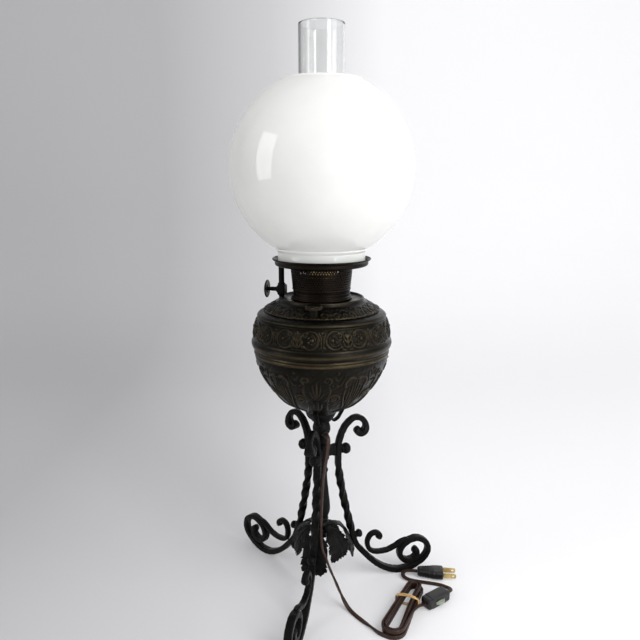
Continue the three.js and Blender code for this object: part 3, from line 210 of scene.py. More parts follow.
camera_data = bpy.data.cameras.new("camera")
camera_data.sensor_width = 36
camera_data.lens = 35.83
camera = bpy.data.objects.new("camera", camera_data)
camera.location = (0.17605, -0.68439, 0.504)
pitch = np.radians(-12.10)
view_across = np.array([-0.2436, 0.9699]) / np.hypot(0.2436, 0.9699)
looking = Vector((*(view_across * np.cos(pitch)), np.sin(pitch)))
camera.rotation_euler = looking.to_track_quat("-Z", "Y").to_euler()
bpy.context.scene.collection.objects.link(camera)
bpy.context.scene.camera = camera
bpy.context.scene.view_settings.view_transform = "Standard"


# ---------------------------------------------------------------- materials

def material(name, colour, roughness, metallic=0.0):
    """A new material; returns it with its tree and its shader, whose sockets hold the plain values."""
    made = bpy.data.materials.new(name)
    made.use_nodes = True
    shader = made.node_tree.nodes["Principled BSDF"]
    shader.inputs["Base Color"].default_value = (*colour, 1)
    shader.inputs["Roughness"].default_value = roughness
    shader.inputs["Metallic"].default_value = metallic
    made.diffuse_color = (*colour, 1)
    return made, made.node_tree, shader


def node(tree, kind, *sources, **settings):
    """A new node; sources are linked to its first inputs, and settings are its inputs or properties."""
    made = tree.nodes.new("ShaderNode" + kind)
    for socket, source in zip(made.inputs, sources):
        tree.links.new(source, socket)
    for key, value in settings.items():
        if key in made.inputs:
            made.inputs[key].default_value = value
        else:
            setattr(made, key, value)
    return made


def ramp(tree, source, *stops):
    """A colour ramp; stops are (place, colour)."""
    made = node(tree, "ValToRGB", source)
    keys = made.color_ramp.elements
    while len(keys) < len(stops):
        keys.new(0.5)
    for key, (place, colour) in zip(keys, stops):
        key.position = place
        key.color = (*colour, 1) if len(np.shape(colour)) else (colour, colour, colour, 1)
    return made.outputs[0]


def noise(tree, scale, detail=4.0, roughness=0.55, stretch=(1, 1, 1)):
    """Noise over the piece's own place in metres; scale counts features to the metre."""
    place = node(tree, "TexCoord").outputs["Object"]
    mapped = node(tree, "Mapping", place, Scale=stretch).outputs[0]
    return node(tree, "TexNoise", mapped, Scale=scale, Detail=detail, Roughness=roughness).outputs["Fac"]


def blend(tree, factor, low, high):
    """Colour between two, by a factor; either may be a colour or a socket."""
    made = node(tree, "Mix", factor, data_type="RGBA")
    for name, value in (("A", low), ("B", high)):
        socket = [s for s in made.inputs if s.name == name and s.type == "RGBA"][0]
        if hasattr(value, "is_output"):
            tree.links.new(value, socket)
        else:
            socket.default_value = (*value, 1)
    return [s for s in made.outputs if s.type == "RGBA"][0]


def add_bump(tree, shader, height, strength, distance):
    made = node(tree, "Bump", Strength=strength, Distance=distance)
    tree.links.new(height, made.inputs["Height"])
    tree.links.new(made.outputs[0], shader.inputs["Normal"])


def drift(tree, shader, socket, scale, detail, *stops, roughness=0.55):
    """Feeds a shader's socket from noise through a ramp."""
    tree.links.new(ramp(tree, noise(tree, scale, detail, roughness), *stops), shader.inputs[socket])


def cord_brown():
    made, tree, shader = material("cord_brown", (0.03, 0.013, 0.008), 0.42)
    shader.inputs["Specular IOR Level"].default_value = 0.3
    drift(tree, shader, "Base Color", 260, 4, (0.3, (0.018, 0.0070, 0.0045)), (0.7, (0.038, 0.0150, 0.0085)))
    drift(tree, shader, "Roughness", 420, 4, (0.3, 0.36), (0.7, 0.52))
    add_bump(tree, shader, noise(tree, 1400, 2), 0.25, 0.0002)
    return made


CORD = cord_brown()
cord_wide, cord_thick = 5.4, 2.7


# ---------------------------------------------------------------- lathe work and bars

def through(points, count):
    """A smooth profile through points, walked at even steps."""
    return evenly([(r, 0, z) for r, z in points], count)[0][:, [0, 2]]


def lathe(profile, columns, lift=None):
    """A profile of [radius, height] carried round the axis.

    The profile runs counter-clockwise, out and up its outer side. Lift moves each corner along the
    profile's own outward normal.
    """
    profile = np.asarray(profile, float)
    angle = circle(columns)
    radius, height = profile[:, :1], profile[:, 1:]
    if lift is not None:
        slope = unit(np.gradient(profile, axis=0))
        radius = radius + lift * slope[:, 1:]
        height = height - lift * slope[:, :1]
    radius, height = np.broadcast_arrays(radius, height * np.ones(columns))
    points = np.stack([radius * np.cos(angle), radius * np.sin(angle), height], -1)
    return points.reshape(-1, 3), grid_faces(len(profile), columns)


def together(*shells):
    """Several sets of corners and faces as one."""
    points, faces, count = [], [], 0
    for p, f in shells:
        points.append(p)
        faces.append(np.asarray(f) + count)
        count += len(p)
    return np.concatenate(points), np.concatenate(faces)


def rounded(corners, radius, steps=5):
    """A profile whose inner corners are cut back by a radius and rounded with a quadratic bend."""
    corners = np.asarray(corners, float)
    made = [corners[:1]]
    for before, corner, after in zip(corners[:-2], corners[1:-1], corners[2:]):
        back, on = before - corner, after - corner
        cut_back = min(radius, 0.45 * np.linalg.norm(back), 0.45 * np.linalg.norm(on))
        a, b = corner + unit(back) * cut_back, corner + unit(on) * cut_back
        t = np.linspace(0, 1, steps)[:, None]
        made.append((1 - t) ** 2 * a + 2 * t * (1 - t) * corner + t**2 * b)
    made.append(corners[-1:])
    return np.concatenate(made)


def shares(table, x0, x_size, z0, z_size):
    return [(x0 + x * x_size, z0 + z * z_size) for x, z in table]


def along_x(points):
    """What was made round the upright axis is laid along X."""
    return np.stack([points[..., 2], points[..., 1], -points[..., 0]], -1)


def square_section(angle, power):
    """A square with rounded corners: cosine and sine, each drawn out by a power."""
    draw = lambda v: np.sign(v) * np.abs(v) ** (2 / power)
    return draw(np.cos(angle)), draw(np.sin(angle))


def forged_bar(
    route, rings, wide, thick, twist=None, power=5.0, round_end=3.5, hammer=0.22, seed=1, sides=24,
    buds=(0.1, 0.1)
):
    """A hammered bar along a route of [radius, height] points in an upright plane.

    Its section is a rounded square whose size changes along the route and which turns about the route
    by a twist. Towards each end, over the length of its bud, the section grows round. Both ends close in
    a half circle, and shallow waves stand for hammer marks.
    """
    line, along = curve([(r, 0, z) for r, z in route], rings)
    t = np.linspace(0, 1, rings + 1)
    walked = np.concatenate([[0], np.cumsum(np.linalg.norm(np.diff(line, axis=0), axis=1))])
    out = np.stack([along[:, 2], 0 * t, -along[:, 0]], 1)
    angle = np.zeros(rings + 1) if twist is None else twist(line[:, 2])
    c, s = np.cos(angle)[:, None], np.sin(angle)[:, None]
    u, v = out * c + SIDEWAYS * s, SIDEWAYS * c - out * s
    round_way = circle(sides)
    squared = smoothstep(walked, 0, buds[0]) * smoothstep(walked[-1] - walked, 0, buds[1])
    flat_u, flat_v = square_section(round_way[None], (2.1 + (power - 2.1) * squared)[:, None])
    near_end = np.minimum(walked, walked[-1] - walked)
    close = np.sqrt(np.clip(1 - (1 - np.clip(near_end / round_end, 0.002, 1)) ** 2, 0, 1))[:, None]
    marks = hammer * ripple(round_way[None], 3.2, walked[:, None], seed, waves=6, pitch=6.5)
    size_u = (thick(t)[:, None] / 2 + marks) * close
    size_v = (wide(t)[:, None] / 2 + marks) * close
    rings_at = tube(line, v, u, flat_v * size_v, flat_u * size_u)
    return closed_tube(rings_at)


def swelling(plain, first_bud, last_bud, bud_share):
    """A bar's thickness, which swells over a share at each end by the square of the nearness to it."""
    def thick(t):
        near = lambda far: np.maximum(0, 1 - far / bud_share)
        return plain + (first_bud - plain) * near(t) ** 2 + (last_bud - plain) * near(1 - t) ** 2
    return thick


def steady(size):
    return lambda t: size + 0 * t


# ---------------------------------------------------------------- finishes

def forged_iron():
    """Blackened wrought iron: near black, brown where it is thin, satin and uneven."""
    made, tree, shader = material("forged_iron", (0.0055, 0.0052, 0.0049), 0.5, 0.55)
    shader.inputs["Specular IOR Level"].default_value = 0.16
    black, brownish, brown = (0.0038, 0.0038, 0.0038), (0.0068, 0.0062, 0.0056), (0.017, 0.0105, 0.0066)
    drift(tree, shader, "Base Color", 55, 6, (0.35, black), (0.62, brownish), (0.82, brown), roughness=0.6)
    drift(tree, shader, "Roughness", 130, 5, (0.3, 0.34), (0.7, 0.62))
    add_bump(tree, shader, noise(tree, 420, 5, 0.6), 0.35, 0.0006)
    return made


def patinated(name, dark, warm, rubbed, low_rough, high_rough):
    """Old brass under a dark skin: the mark "rubbed" lets the bare metal show where hands reach."""
    made, tree, shader = material(name, dark, 0.4, 0.85)
    shader.inputs["Specular IOR Level"].default_value = 0.2
    skin = ramp(tree, noise(tree, 42, 6, 0.62), (0.32, dark), (0.7, warm))
    worn = node(tree, "Attribute", attribute_name="rubbed").outputs["Fac"]
    patches = ramp(tree, noise(tree, 90, 5, 0.6), (0.3, 0.45), (0.62, 1.0))
    uneven = node(tree, "Math", worn, patches, operation="MULTIPLY").outputs[0]
    tree.links.new(blend(tree, uneven, skin, rubbed), shader.inputs["Base Color"])
    drift(tree, shader, "Roughness", 160, 4, (0.3, low_rough), (0.7, high_rough))
    add_bump(tree, shader, noise(tree, 600, 4), 0.35, 0.0002)
    return made


def plain_finish(name, low, high, scale, roughness, metallic=0.0, grain=0.2, grain_scale=900, depth=0.0001):
    """A colour that drifts between two, with a fine grain in roughness and surface."""
    made, tree, shader = material(name, low, roughness, metallic)
    drift(tree, shader, "Base Color", scale, 5, (0.3, low), (0.7, high))
    drift(tree, shader, "Roughness", scale * 2.3, 4, (0.3, roughness - 0.08), (0.7, roughness + 0.08))
    add_bump(tree, shader, noise(tree, grain_scale, 3), grain, depth)
    return made


def opal_glass():
    """White opal glass: gloss over a milky body, greyer and greener in the thin neck, with a faint painted
    glow.
    """
    made, tree, shader = material("opal_glass", (0.78, 0.78, 0.757), 0.055)
    place = node(tree, "TexCoord").outputs["Object"]
    height = node(tree, "SeparateXYZ", place).outputs["Z"]
    level = node(tree, "MapRange", height, **{"From Min": 0.4115, "From Max": 0.4355}).outputs[0]
    cloudy = ramp(tree, noise(tree, 14, 3), (0.3, (0.70, 0.705, 0.68)), (0.7, (0.75, 0.75, 0.725)))
    necked = ramp(
        tree, level, (0.0, (0.40, 0.43, 0.41)), (0.62, (0.52, 0.55, 0.52)), (0.78, (0.80, 0.805, 0.775))
    )
    tree.links.new(blend(tree, level, necked, cloudy), shader.inputs["Base Color"])
    # Emission Color and Strength are a painted glow, standing in for light through the milky glass; the glass
    # is no lamp.
    for socket, value in {
        "Emission Color": (1, 1, 0.97, 1), "Emission Strength": 0.09, "Subsurface Weight": 0.35,
        "Subsurface Radius": (1.0, 1.0, 0.9), "Subsurface Scale": 0.006, "Specular IOR Level": 0.6,
    }.items():
        shader.inputs[socket].default_value = value
    add_bump(tree, shader, noise(tree, 30, 2), 0.05, 0.0008)
    return made


def clear_glass():
    """Thin clear glass with the slight waves of a drawn tube."""
    made, tree, shader = material("clear_glass", (0.93, 0.955, 0.945), 0.015)
    shader.inputs["Transmission Weight"].default_value = 1.0
    shader.inputs["IOR"].default_value = 1.46
    drift(tree, shader, "Base Color", 22, 2, (0.3, (0.915, 0.925, 0.915)), (0.7, (0.965, 0.968, 0.962)))
    add_bump(tree, shader, noise(tree, 110, 2, stretch=(1, 1, 0.02)), 0.45, 0.0011)
    return made


IRON = forged_iron()
BRONZE = patinated(
    "dark_bronze", (0.0068, 0.0065, 0.0051), (0.0130, 0.0115, 0.0082), (0.115, 0.085, 0.044), 0.26, 0.46
)
BURNER = patinated(
    "burner_brown", (0.0075, 0.006, 0.0046), (0.019, 0.0135, 0.0095), (0.08, 0.053, 0.031), 0.30, 0.5
)
BRASS = plain_finish("bare_brass", (0.46, 0.33, 0.12), (0.66, 0.50, 0.22), 160, 0.3, 0.95)
OPAL = opal_glass()
GLASS = clear_glass()
BLACK_PLASTIC = plain_finish(
    "black_plastic", (0.0035, 0.0035, 0.004), (0.007, 0.0065, 0.0065), 140, 0.34, grain=0.3, grain_scale=1500
)
WHEEL_PLASTIC = plain_finish(
    "grey_green_plastic", (0.24, 0.28, 0.21), (0.34, 0.38, 0.30), 220, 0.42, grain_scale=1500
)
RUBBER = plain_finish("tan_rubber", (0.52, 0.31, 0.10), (0.70, 0.46, 0.19), 300, 0.55, grain=0.4)
COTTON = plain_finish(
    "wick_cotton", (0.55, 0.49, 0.37), (0.76, 0.70, 0.57), 500, 0.9, grain=0.9, grain_scale=2600, depth=0.0004
)
PIPE_STEEL = plain_finish("pipe_steel", (0.10, 0.095, 0.09), (0.17, 0.16, 0.15), 150, 0.4, 0.9)


def iron_piece(name, shell, node_name, turn=0, sharp=40):
    add_piece(name, shell, IRON, "stand", "iron", node_name, turn=turn, sharp=sharp)


# ---------------------------------------------------------------- cords

hank_place, hank_turn = (98.4, -79.7, 0), -11.6
hank_loops, hank_long, hank_half, hank_step, hank_taper = 4, 109, 14.6, 3.4, 3
hank_waist, hank_draw, hank_lift = 66, 0.07, 1.6
fold_steps, run_steps, layer_gap = 7, 5, 0.5
loop_steps = 2 * (fold_steps + run_steps)

cord_lead_points = [
    (8.26, -10.58, 208.87), (10.1, -12.9, 208.8), (11.9, -15.3, 207), (12.5, -17.2, 202), (12.1, -18.6, 195),
    (11.2, -20.2, 187), (9.4, -22.6, 170), (8.8, -28.8, 152), (9.0, -33.0, 135), (9.1, -36.8, 118),
    (9.6, -39.6, 101), (11.2, -43.6, 84), (14.2, -47.4, 76), (17.2, -48.2, 70), (21.0, -47.6, 59),
    (24.8, -46.4, 48.8), (28.4, -44.2, 38), (31.4, -41.2, 27), (34.6, -38.8, 17), (38.8, -39.0, 8.5),
    (44.6, -42.4, 3.6), (53.4, -49.8, 2.2), (64.5, -58.5, 2.2), (75.0, -66.0, 2.2), (82.4, -72.4, 2.3),
    (87.2, -76.2, 2.5),
]
cord_tail_points = [
    (118.4, -49.3, 8.8), (119.9, -42.6, 9.1), (122, -35.6, 9.4), (124.8, -29.2, 9.4), (128.2, -23.6, 8.6),
    (130.7, -19.9, 7.5), (133.17, -16.6, 7),
]
cord_plug_points = [
    (156.83, 11.6, 7), (159.8, 15.3, 6.7), (161.6, 20, 5.6), (160.4, 25.4, 4.2), (156, 29.8, 3.1),
    (149.5, 32.5, 2.8), (141, 33.5, 2.7), (130, 33.5, 2.7), (118.4, 33.6, 2.7), (107.6, 34.8, 2.9),
    (101.2, 38, 3.6), (99.6, 42.8, 4.8), (102.8, 46.4, 6), (109, 47.65, 6.5), (117.4, 48.76, 6.5),
]


def hank_line(place):
    """The hank's centreline: spiral loops of two half-round folds and two straight runs.

    Each turn is a step narrower until the middle of the winding, then wider again one cord's width
    higher. The runs come nearer together towards the upper fold, and are drawn in and lifted where the
    band holds them.
    """
    place = np.asarray(place, float)
    middle = (hank_loops + 0.5) / 2
    turns = np.where(place < middle, place, 2 * middle - place)
    run = hank_long / 2 - hank_half
    step = (place % 1) * loop_steps
    leave, over = fold_steps / 2, fold_steps / 2 + run_steps
    down, back = over + fold_steps, over + fold_steps + run_steps
    up_share = np.clip(np.minimum(step - leave, back - step) / run_steps, 0, 1)
    half = hank_half - hank_step * turns - hank_taper * up_share
    foot = np.where(step < leave, step, step - loop_steps) / fold_steps * np.pi
    head = (step - over) / fold_steps * np.pi
    parts = [(step < leave) | (step >= back), step < over, step < down]
    x = np.select(parts, [half * np.sin(foot), half, half * np.cos(head)], -half)
    y = np.select(
        parts,
        [-run - half * np.cos(foot), -run + (step - leave) / run_steps * 2 * run, run + half * np.sin(head)],
        run - (step - down) / run_steps * 2 * run,
    )
    from_foot = y + hank_long / 2
    away = (from_foot - hank_waist) / (hank_long - hank_waist)
    draw = np.maximum(0, 1 - away**2) ** 2
    climbed = smoothstep(place, middle - 0.25, middle + 0.25)
    z = cord_wide / 2 + hank_lift * draw + climbed * (cord_wide + layer_gap)
    return np.stack([x * (1 - hank_draw * draw), from_foot, z], -1)


def cord_rings(line, turn_up):
    """Rings of the flat cord along a line.

    Its broad side lies level and square to the line, turned up on edge by a share of a quarter turn.
    """
    along = unit(np.gradient(line, axis=0))
    level = unit(np.cross(along, UPRIGHT) + 1e-9)
    lifted = unit(np.cross(level, along))
    angle = np.broadcast_to(turn_up, len(line)) * np.pi / 2
    across = level * np.cos(angle)[:, None] + lifted * np.sin(angle)[:, None]
    out = unit(np.cross(across, along))
    section_across, section_out = flat_twin(20, cord_wide, cord_thick)
    return tube(line, across, out, section_across[None], section_out[None])


def lay_cord(name, line, turn_up, nodes, **facts):
    points, faces = closed_tube(cord_rings(line, turn_up))
    piece = add_piece(name, (points, faces), CORD, "stand", "cord", *nodes, sharp=60)
    return piece


def main_cord():
    """From the neck down to the floor, wound up in the hank, and on to the switch, as one line.

    The cord stands on edge in the hank and while it hangs, and turns over smoothly between. Where it
    lies flat its centre comes down, as it is thinner than it is wide.
    """
    lead, _ = evenly(cord_lead_points, 200)
    hank_end = hank_loops + 4 / loop_steps
    winding = turned_about(hank_line(np.linspace(0, hank_end, 480)), hank_turn, hank_place)
    tail, _ = evenly(cord_tail_points, 40)
    line, _ = evenly(np.concatenate([lead, winding, tail])[::2], 1500)
    window = np.hanning(13) / np.hanning(13).sum()
    soft = np.stack([np.convolve(line[:, k], window, "valid") for k in range(3)], 1)
    line = np.vstack([line[:6], soft, line[-6:]])
    walked = np.linspace(0, length_of(line), len(line))
    first = length_of(lead)
    last = walked[-1] - length_of(tail)
    turn_up = smoothstep(walked, first - 34, first + 2) * (1 - smoothstep(walked, last - 2, last + 42))
    hanging = smoothstep(walked, 6, 24) * (1 - smoothstep(walked, 128, 168))
    turn_up = np.maximum(turn_up, hanging)
    lying = (1 - turn_up) * (1 - smoothstep(line[:, 2], 3, 9))
    line[:, 2] -= 0.8 * lying
    return line, turn_up


# ---------------------------------------------------------------- tripod

bar_wide, bar_thick = 9, 7
neck_radius, hub_height, neck_drop = 21.5, 183.5, 20.3
knee_radius, knee_height, shank_bow = 42.1, 62.5, 1.3
curl_reach, curl_rise = 35.6, 39.2
foot_reach, foot_rise, foot_cut = 147.6, 42, 0.35
twist_inset, twist_lift = 2, 8
neck_end = hub_height - neck_drop
foot_floor = bar_thick / 2 - foot_cut
leg_angles = {"front": -90, "right": 30, "left": 150}
between_angles = {"front_right": -30, "back": 90, "front_left": 210}

curl_shares = [
    (0.80, 0.645), (0.735, 0.60), (0.72, 0.53), (0.815, 0.47), (0.948, 0.53), (1, 0.68), (0.935, 0.85),
    (0.78, 0.972), (0.584, 1), (0.39, 0.9), (0.208, 0.708), (0.078, 0.44), (0.013, 0.22), (0, 0),
]
foot_shares = [
    (0.043, 1.115), (0.118, 0.867), (0.187, 0.662), (0.266, 0.456), (0.37, 0.244), (0.493, 0.077),
    (0.617, 0), (0.74, 0.023), (0.856, 0.128), (0.952, 0.295), (1, 0.526), (0.979, 0.769), (0.914, 0.923),
    (0.834, 0.997), (0.751, 0.964), (0.674, 0.859), (0.626, 0.7), (0.619, 0.526), (0.652, 0.364),
    (0.717, 0.277), (0.791, 0.287), (0.845, 0.41), (0.838, 0.56), (0.784, 0.628),
]
scroll_shares = [
    (0.312, 1.185), (0.34, 1.29), (0.3, 1.39), (0.232, 1.36), (0.192, 1.205), (0.188, 1.03), (0.216, 0.862),
    (0.27, 0.77), (0.349, 0.732), (0.442, 0.742), (0.524, 0.805), (0.592, 0.895), (0.6465, 0.9605),
    (0.70, 0.998), (0.75, 1.02),
]


def on_foot(table):
    return shares(table, knee_radius, foot_reach - knee_radius, foot_floor, foot_rise)


def leg_route():
    shank = [
        (neck_radius + t**shank_bow * (knee_radius - neck_radius), neck_end + t * (knee_height - neck_end))
        for t in np.linspace(0, 1, 9)
    ]
    return shares(curl_shares, neck_radius, curl_reach, hub_height, curl_rise) + shank + on_foot(foot_shares)


def eased(t, places, values):
    """Runs from one value to the next by a smooth step between their places."""
    total = values[0]
    for low, high, before, after in zip(places[:-1], places[1:], values[:-1], values[1:]):
        total = total + (after - before) * smoothstep(t, low, high)
    return total


curl_wide_places, curl_wides = (0, 0.085, 0.135, 0.27), (9.5, 12.6, 5.8, bar_wide)


def make_legs():
    route = leg_route()
    top = neck_end - twist_inset
    twist = lambda height: np.clip((top - height) / (top - knee_height - twist_lift), 0, 1) * 1.5 * TAU
    foot_bud = swelling(0, 0, 3.6, 1.6 / len(route))  # the foot's end is wider
    boss = lambda t: 1 - smoothstep(t, 1.4 / len(route), 3.6 / len(route))
    plain_thick = swelling(bar_thick, bar_thick, 12.6, 2.2 / len(route))
    wide = lambda t: eased(t, curl_wide_places, curl_wides) + foot_bud(t)
    thick = lambda t: plain_thick(t) + 3.6 * boss(t)
    foot = on_foot(scroll_shares)
    scroll_thick = swelling(5.9, 12.6, 2.6, 2.6 / len(foot))
    scroll_wide = swelling(7.2, 12.2, 5.0, 2.6 / len(foot))
    for number, (side, angle) in enumerate(leg_angles.items()):
        points, faces = forged_bar(
            route, 560, wide, thick, twist, power=8, round_end=5.6, seed=11 + number, buds=(9, 15)
        )
        points[:, 2] = np.maximum(points[:, 2], 0)
        iron_piece("leg_" + side + "_bar", (points, faces), "leg_" + side, turn=angle, sharp=55)
        scroll = forged_bar(
            foot, 220, scroll_wide, scroll_thick, power=4, round_end=4.4, seed=21 + number, buds=(13, 3)
        )
        iron_piece("foot_scroll_" + side + "_bar", scroll, "foot_scroll_" + side, turn=angle, sharp=55)


knee_tilt = np.arctan2(shank_bow * (knee_radius - neck_radius), neck_end - knee_height)
bolt_radius, upper_ball, lower_ball = 2.2, 7.1, 5.2
hub_boss, hub_thick, hub_arm_wide, hub_arm_tall = 9.6, 21, 8, 15.5


def to_knee(points):
    """Leant back by the shank's slope and brought to the lower bolt's place."""
    c, s = np.cos(-knee_tilt), np.sin(-knee_tilt)
    x, y, z = points[:, 0], points[:, 1], points[:, 2]
    return np.stack([x * c + z * s, y, -x * s + z * c], 1) + [knee_radius, 0, knee_height]


def ball_bolt(shank_end, ball, seed):
    """A ball head on a short waist: a lathe whose ball is dented by eight shallow lobes and hammer marks."""
    seat, waist = bar_thick / 2 + clearance, 0.77 * ball
    head = [(np.sin(a) * ball, seat + ball * (0.85 - np.cos(a) * 0.87)) for a in np.linspace(0.9, np.pi, 15)]
    profile = rounded(
        [
            (0, shank_end), (bolt_radius, shank_end), (bolt_radius, seat), (waist, seat), (waist, seat + 0.9),
            head[0]
        ],
        0.4
    )
    profile = np.vstack([profile, head[1:]])
    angle = circle(32)
    on_ball = smoothstep(profile[:, 1], seat + 1.2, seat + 3)[:, None]
    lobes = 0.16 * np.cos(8 * angle)[None] * np.clip(profile[:, :1] / ball, 0, 1)
    lift = on_ball * (lobes + 0.3 * ripple(angle[None], 4, profile[:, 1:], seed, pitch=5) - 0.1)
    points, faces = lathe(profile, 32, lift * (profile[:, :1] > 0.01))
    return along_x(points), faces


def make_bolts():
    leaf_inset = bar_thick / 2 + clearance + 2.2
    for number, (side, angle) in enumerate(leg_angles.items()):
        points, faces = ball_bolt(hub_boss + clearance - neck_radius, upper_ball, 31 + number)
        points = points + [neck_radius, 0, hub_height]
        iron_piece("upper_ball_bolt_" + side, (points, faces), "upper_leg_bolt_" + side, turn=angle, sharp=50)
        points, faces = ball_bolt(-leaf_inset, lower_ball, 41 + number)
        iron_piece(
            "lower_ball_bolt_" + side, (to_knee(points), faces), "lower_leg_bolt_" + side, turn=angle,
            sharp=50
        )


lower_hub_bottom, lower_hub_thick, leaf_thick, leaf_wide = 76.9, 5.7, 2.2, 35
pipe_radius, leaf_reach, leaf_drop, leg_leaf_tip = 4.85, 34, 31.5, 39
leaf_root = pipe_radius + 2.3
leaf_level = lower_hub_bottom + lower_hub_thick + clearance + leaf_thick / 2
leaf_wide_shares = [0.15, 0.24, 0.3, 0.3, 0.36, 0.74, 0.98, 0.86, 0.98, 0.9, 0.97, 0.8]
between_shares = [
    (0, 0), (0.07, 0), (0.2, 0.02), (0.45, 0.1), (0.68, 0.27), (0.84, 0.48), (0.94, 0.7), (1, 1)
]
leg_arch_shares = [(0, 0), (0.09, 0), (0.28, -0.04), (0.54, 0.08), (0.77, 0.36)]


def between_route():
    return [
        (leaf_root + out * (leaf_reach - leaf_root), leaf_level - down * leaf_drop)
        for out, down in between_shares
    ]


def leg_leaf_route():
    depth = bar_thick / 2 + clearance + leaf_thick / 2
    bolt = (knee_radius - depth * np.cos(knee_tilt), knee_height - depth * np.sin(knee_tilt))
    arch = [
        (leaf_root + out * (bolt[0] - leaf_root), leaf_level - down * (leaf_level - bolt[1]))
        for out, down in leg_arch_shares
    ]
    hang, slope = bolt[1] - leg_leaf_tip, np.tan(knee_tilt)
    below = [
        (bolt[0] + 0.25 * hang * slope, bolt[1] - 0.25 * hang),
        (bolt[0] + 0.35 * hang * slope, bolt[1] - 0.6 * hang),
        (bolt[0] + 0.3 * hang * slope, leg_leaf_tip),
    ]
    return arch + [bolt] + below


def canopy_leaf(route, seed, ruffle=1.0):
    """A beaten leaf: a thin lens of a section carried along an arching route.

    Its sides are cut into teeth by a rising saw, deeper towards the tip, and its square lower edge into
    five uneven teeth by a saw across it. A midrib and slanting side veins are raised on top, and the
    blade waves more the nearer it is to its edge.
    """
    rings, sides = 150, 64
    line, along = curve([(r, 0, z) for r, z in route], rings)
    t = np.linspace(0, 1, rings + 1)[:, None]
    half = np.interp(t, np.linspace(0, 1, len(leaf_wide_shares)), leaf_wide_shares) * leaf_wide / 2
    grown = smoothstep(t, 0.33, 0.55)
    side = circle(sides)
    w, top = np.cos(side)[None], np.sin(side)[None]
    sign = np.where(w < 0, 0.5, 0.0)
    saw = (t * (9 - 4 * sign) + 0.35 - 0.5 * sign) % 1
    wide = half * (1 + grown * 0.2 * (saw - 0.6))
    reach = np.abs(w)
    thin = (leaf_thick / 2) * (0.62 + 0.3 * (1 - grown)) * np.sign(top) * np.sqrt(np.abs(top))
    rib = 0.7 * np.exp(-((w * wide / 1.4) ** 2)) * grown
    veins = 0.28 * grown * (
        1 - np.abs(np.sin((t * 9 - reach * 1.1) * np.pi))
    ) ** 2 * smoothstep(reach, 0.08, 0.25)
    wave = grown * ruffle * reach**2 * (
        1.5 * np.sin(t * 13 + seed + sign * 5) + 0.7 * np.sin(t * 31 + 2 * seed + sign * 9)
    )
    curl_down = -grown * reach**2 * 1.6
    notch = (2 * np.abs((w * 2.3 + 0.31 * seed) % 1 - 0.5) - 0.75) * 6.5 * smoothstep(t, 0.8, 1.0)
    out = np.stack([along[:, 2], 0 * along[:, 0], -along[:, 0]], 1)
    lift = -(thin + (rib + veins) * np.ones_like(w) + wave + curl_down)
    rings_at = tube(line, SIDEWAYS, out, w * wide, lift) + along[:, None] * notch[..., None]
    return closed_tube(rings_at)


def make_leaves():
    for number, (side, angle) in enumerate(leg_angles.items()):
        leaf = canopy_leaf(leg_leaf_route(), 1.3 + number, ruffle=0.5)
        iron_piece("canopy_leg_leaf_" + side, leaf, "leg_leaf_" + side, turn=angle, sharp=60)
    for number, (side, angle) in enumerate(between_angles.items()):
        leaf = canopy_leaf(between_route(), 4.1 + 1.7 * number)
        iron_piece("canopy_leaf_" + side, leaf, "leaf_" + side, turn=angle, sharp=60)


# ---------------------------------------------------------------- centre of the tripod

pipe_hole = pipe_radius + clearance
column_bottom = leaf_level + leaf_thick / 2 + clearance
hub_bottom = hub_height - hub_thick / 2
hub_top = hub_bottom + hub_thick
bulb_bottom = hub_top + clearance
bulb_tall, bulb_radius, column_radius, cup_radius, cup_tall = 29.5, 10.9, 10.8, 18.1, 12.2
bulb_top = bulb_bottom + bulb_tall
cup_bottom = bulb_top + clearance
cup_top = cup_bottom + cup_tall
bowl_bottom = cup_top + clearance
exit_angle, exit_height = -52, bulb_bottom + 0.494 * bulb_tall

column_shares = [
    (0.85, 0), (0.85, 0.035), (0.72, 0.06), (0.8, 0.095), (0.76, 0.125), (1, 0.235), (0.98, 0.33),
    (0.86, 0.48), (0.71, 0.65), (0.65, 0.8), (0.76, 0.845), (0.66, 0.875), (0.65, 1),
]
neck_bulb_shares = [
    (0.68, 0), (0.76, 0.13), (0.76, 0.25), (0.63, 0.33), (0.9, 0.48), (1, 0.66), (0.9, 0.84), (0.74, 0.95),
    (0.76, 1),
]


def bored(outer, bottom, top, columns=48, lift=None):
    """A turned piece round the pipe: its outer profile, closed by flat ends and the bore."""
    profile = np.vstack([[(pipe_hole, bottom)], outer, [(pipe_hole, top)], [(pipe_hole, bottom)]])
    lifts = None
    if lift is not None:
        lifts = np.zeros((len(profile), columns))
        lifts[2:-3] = lift[1:-1]
    return lathe(profile, columns, lifts)


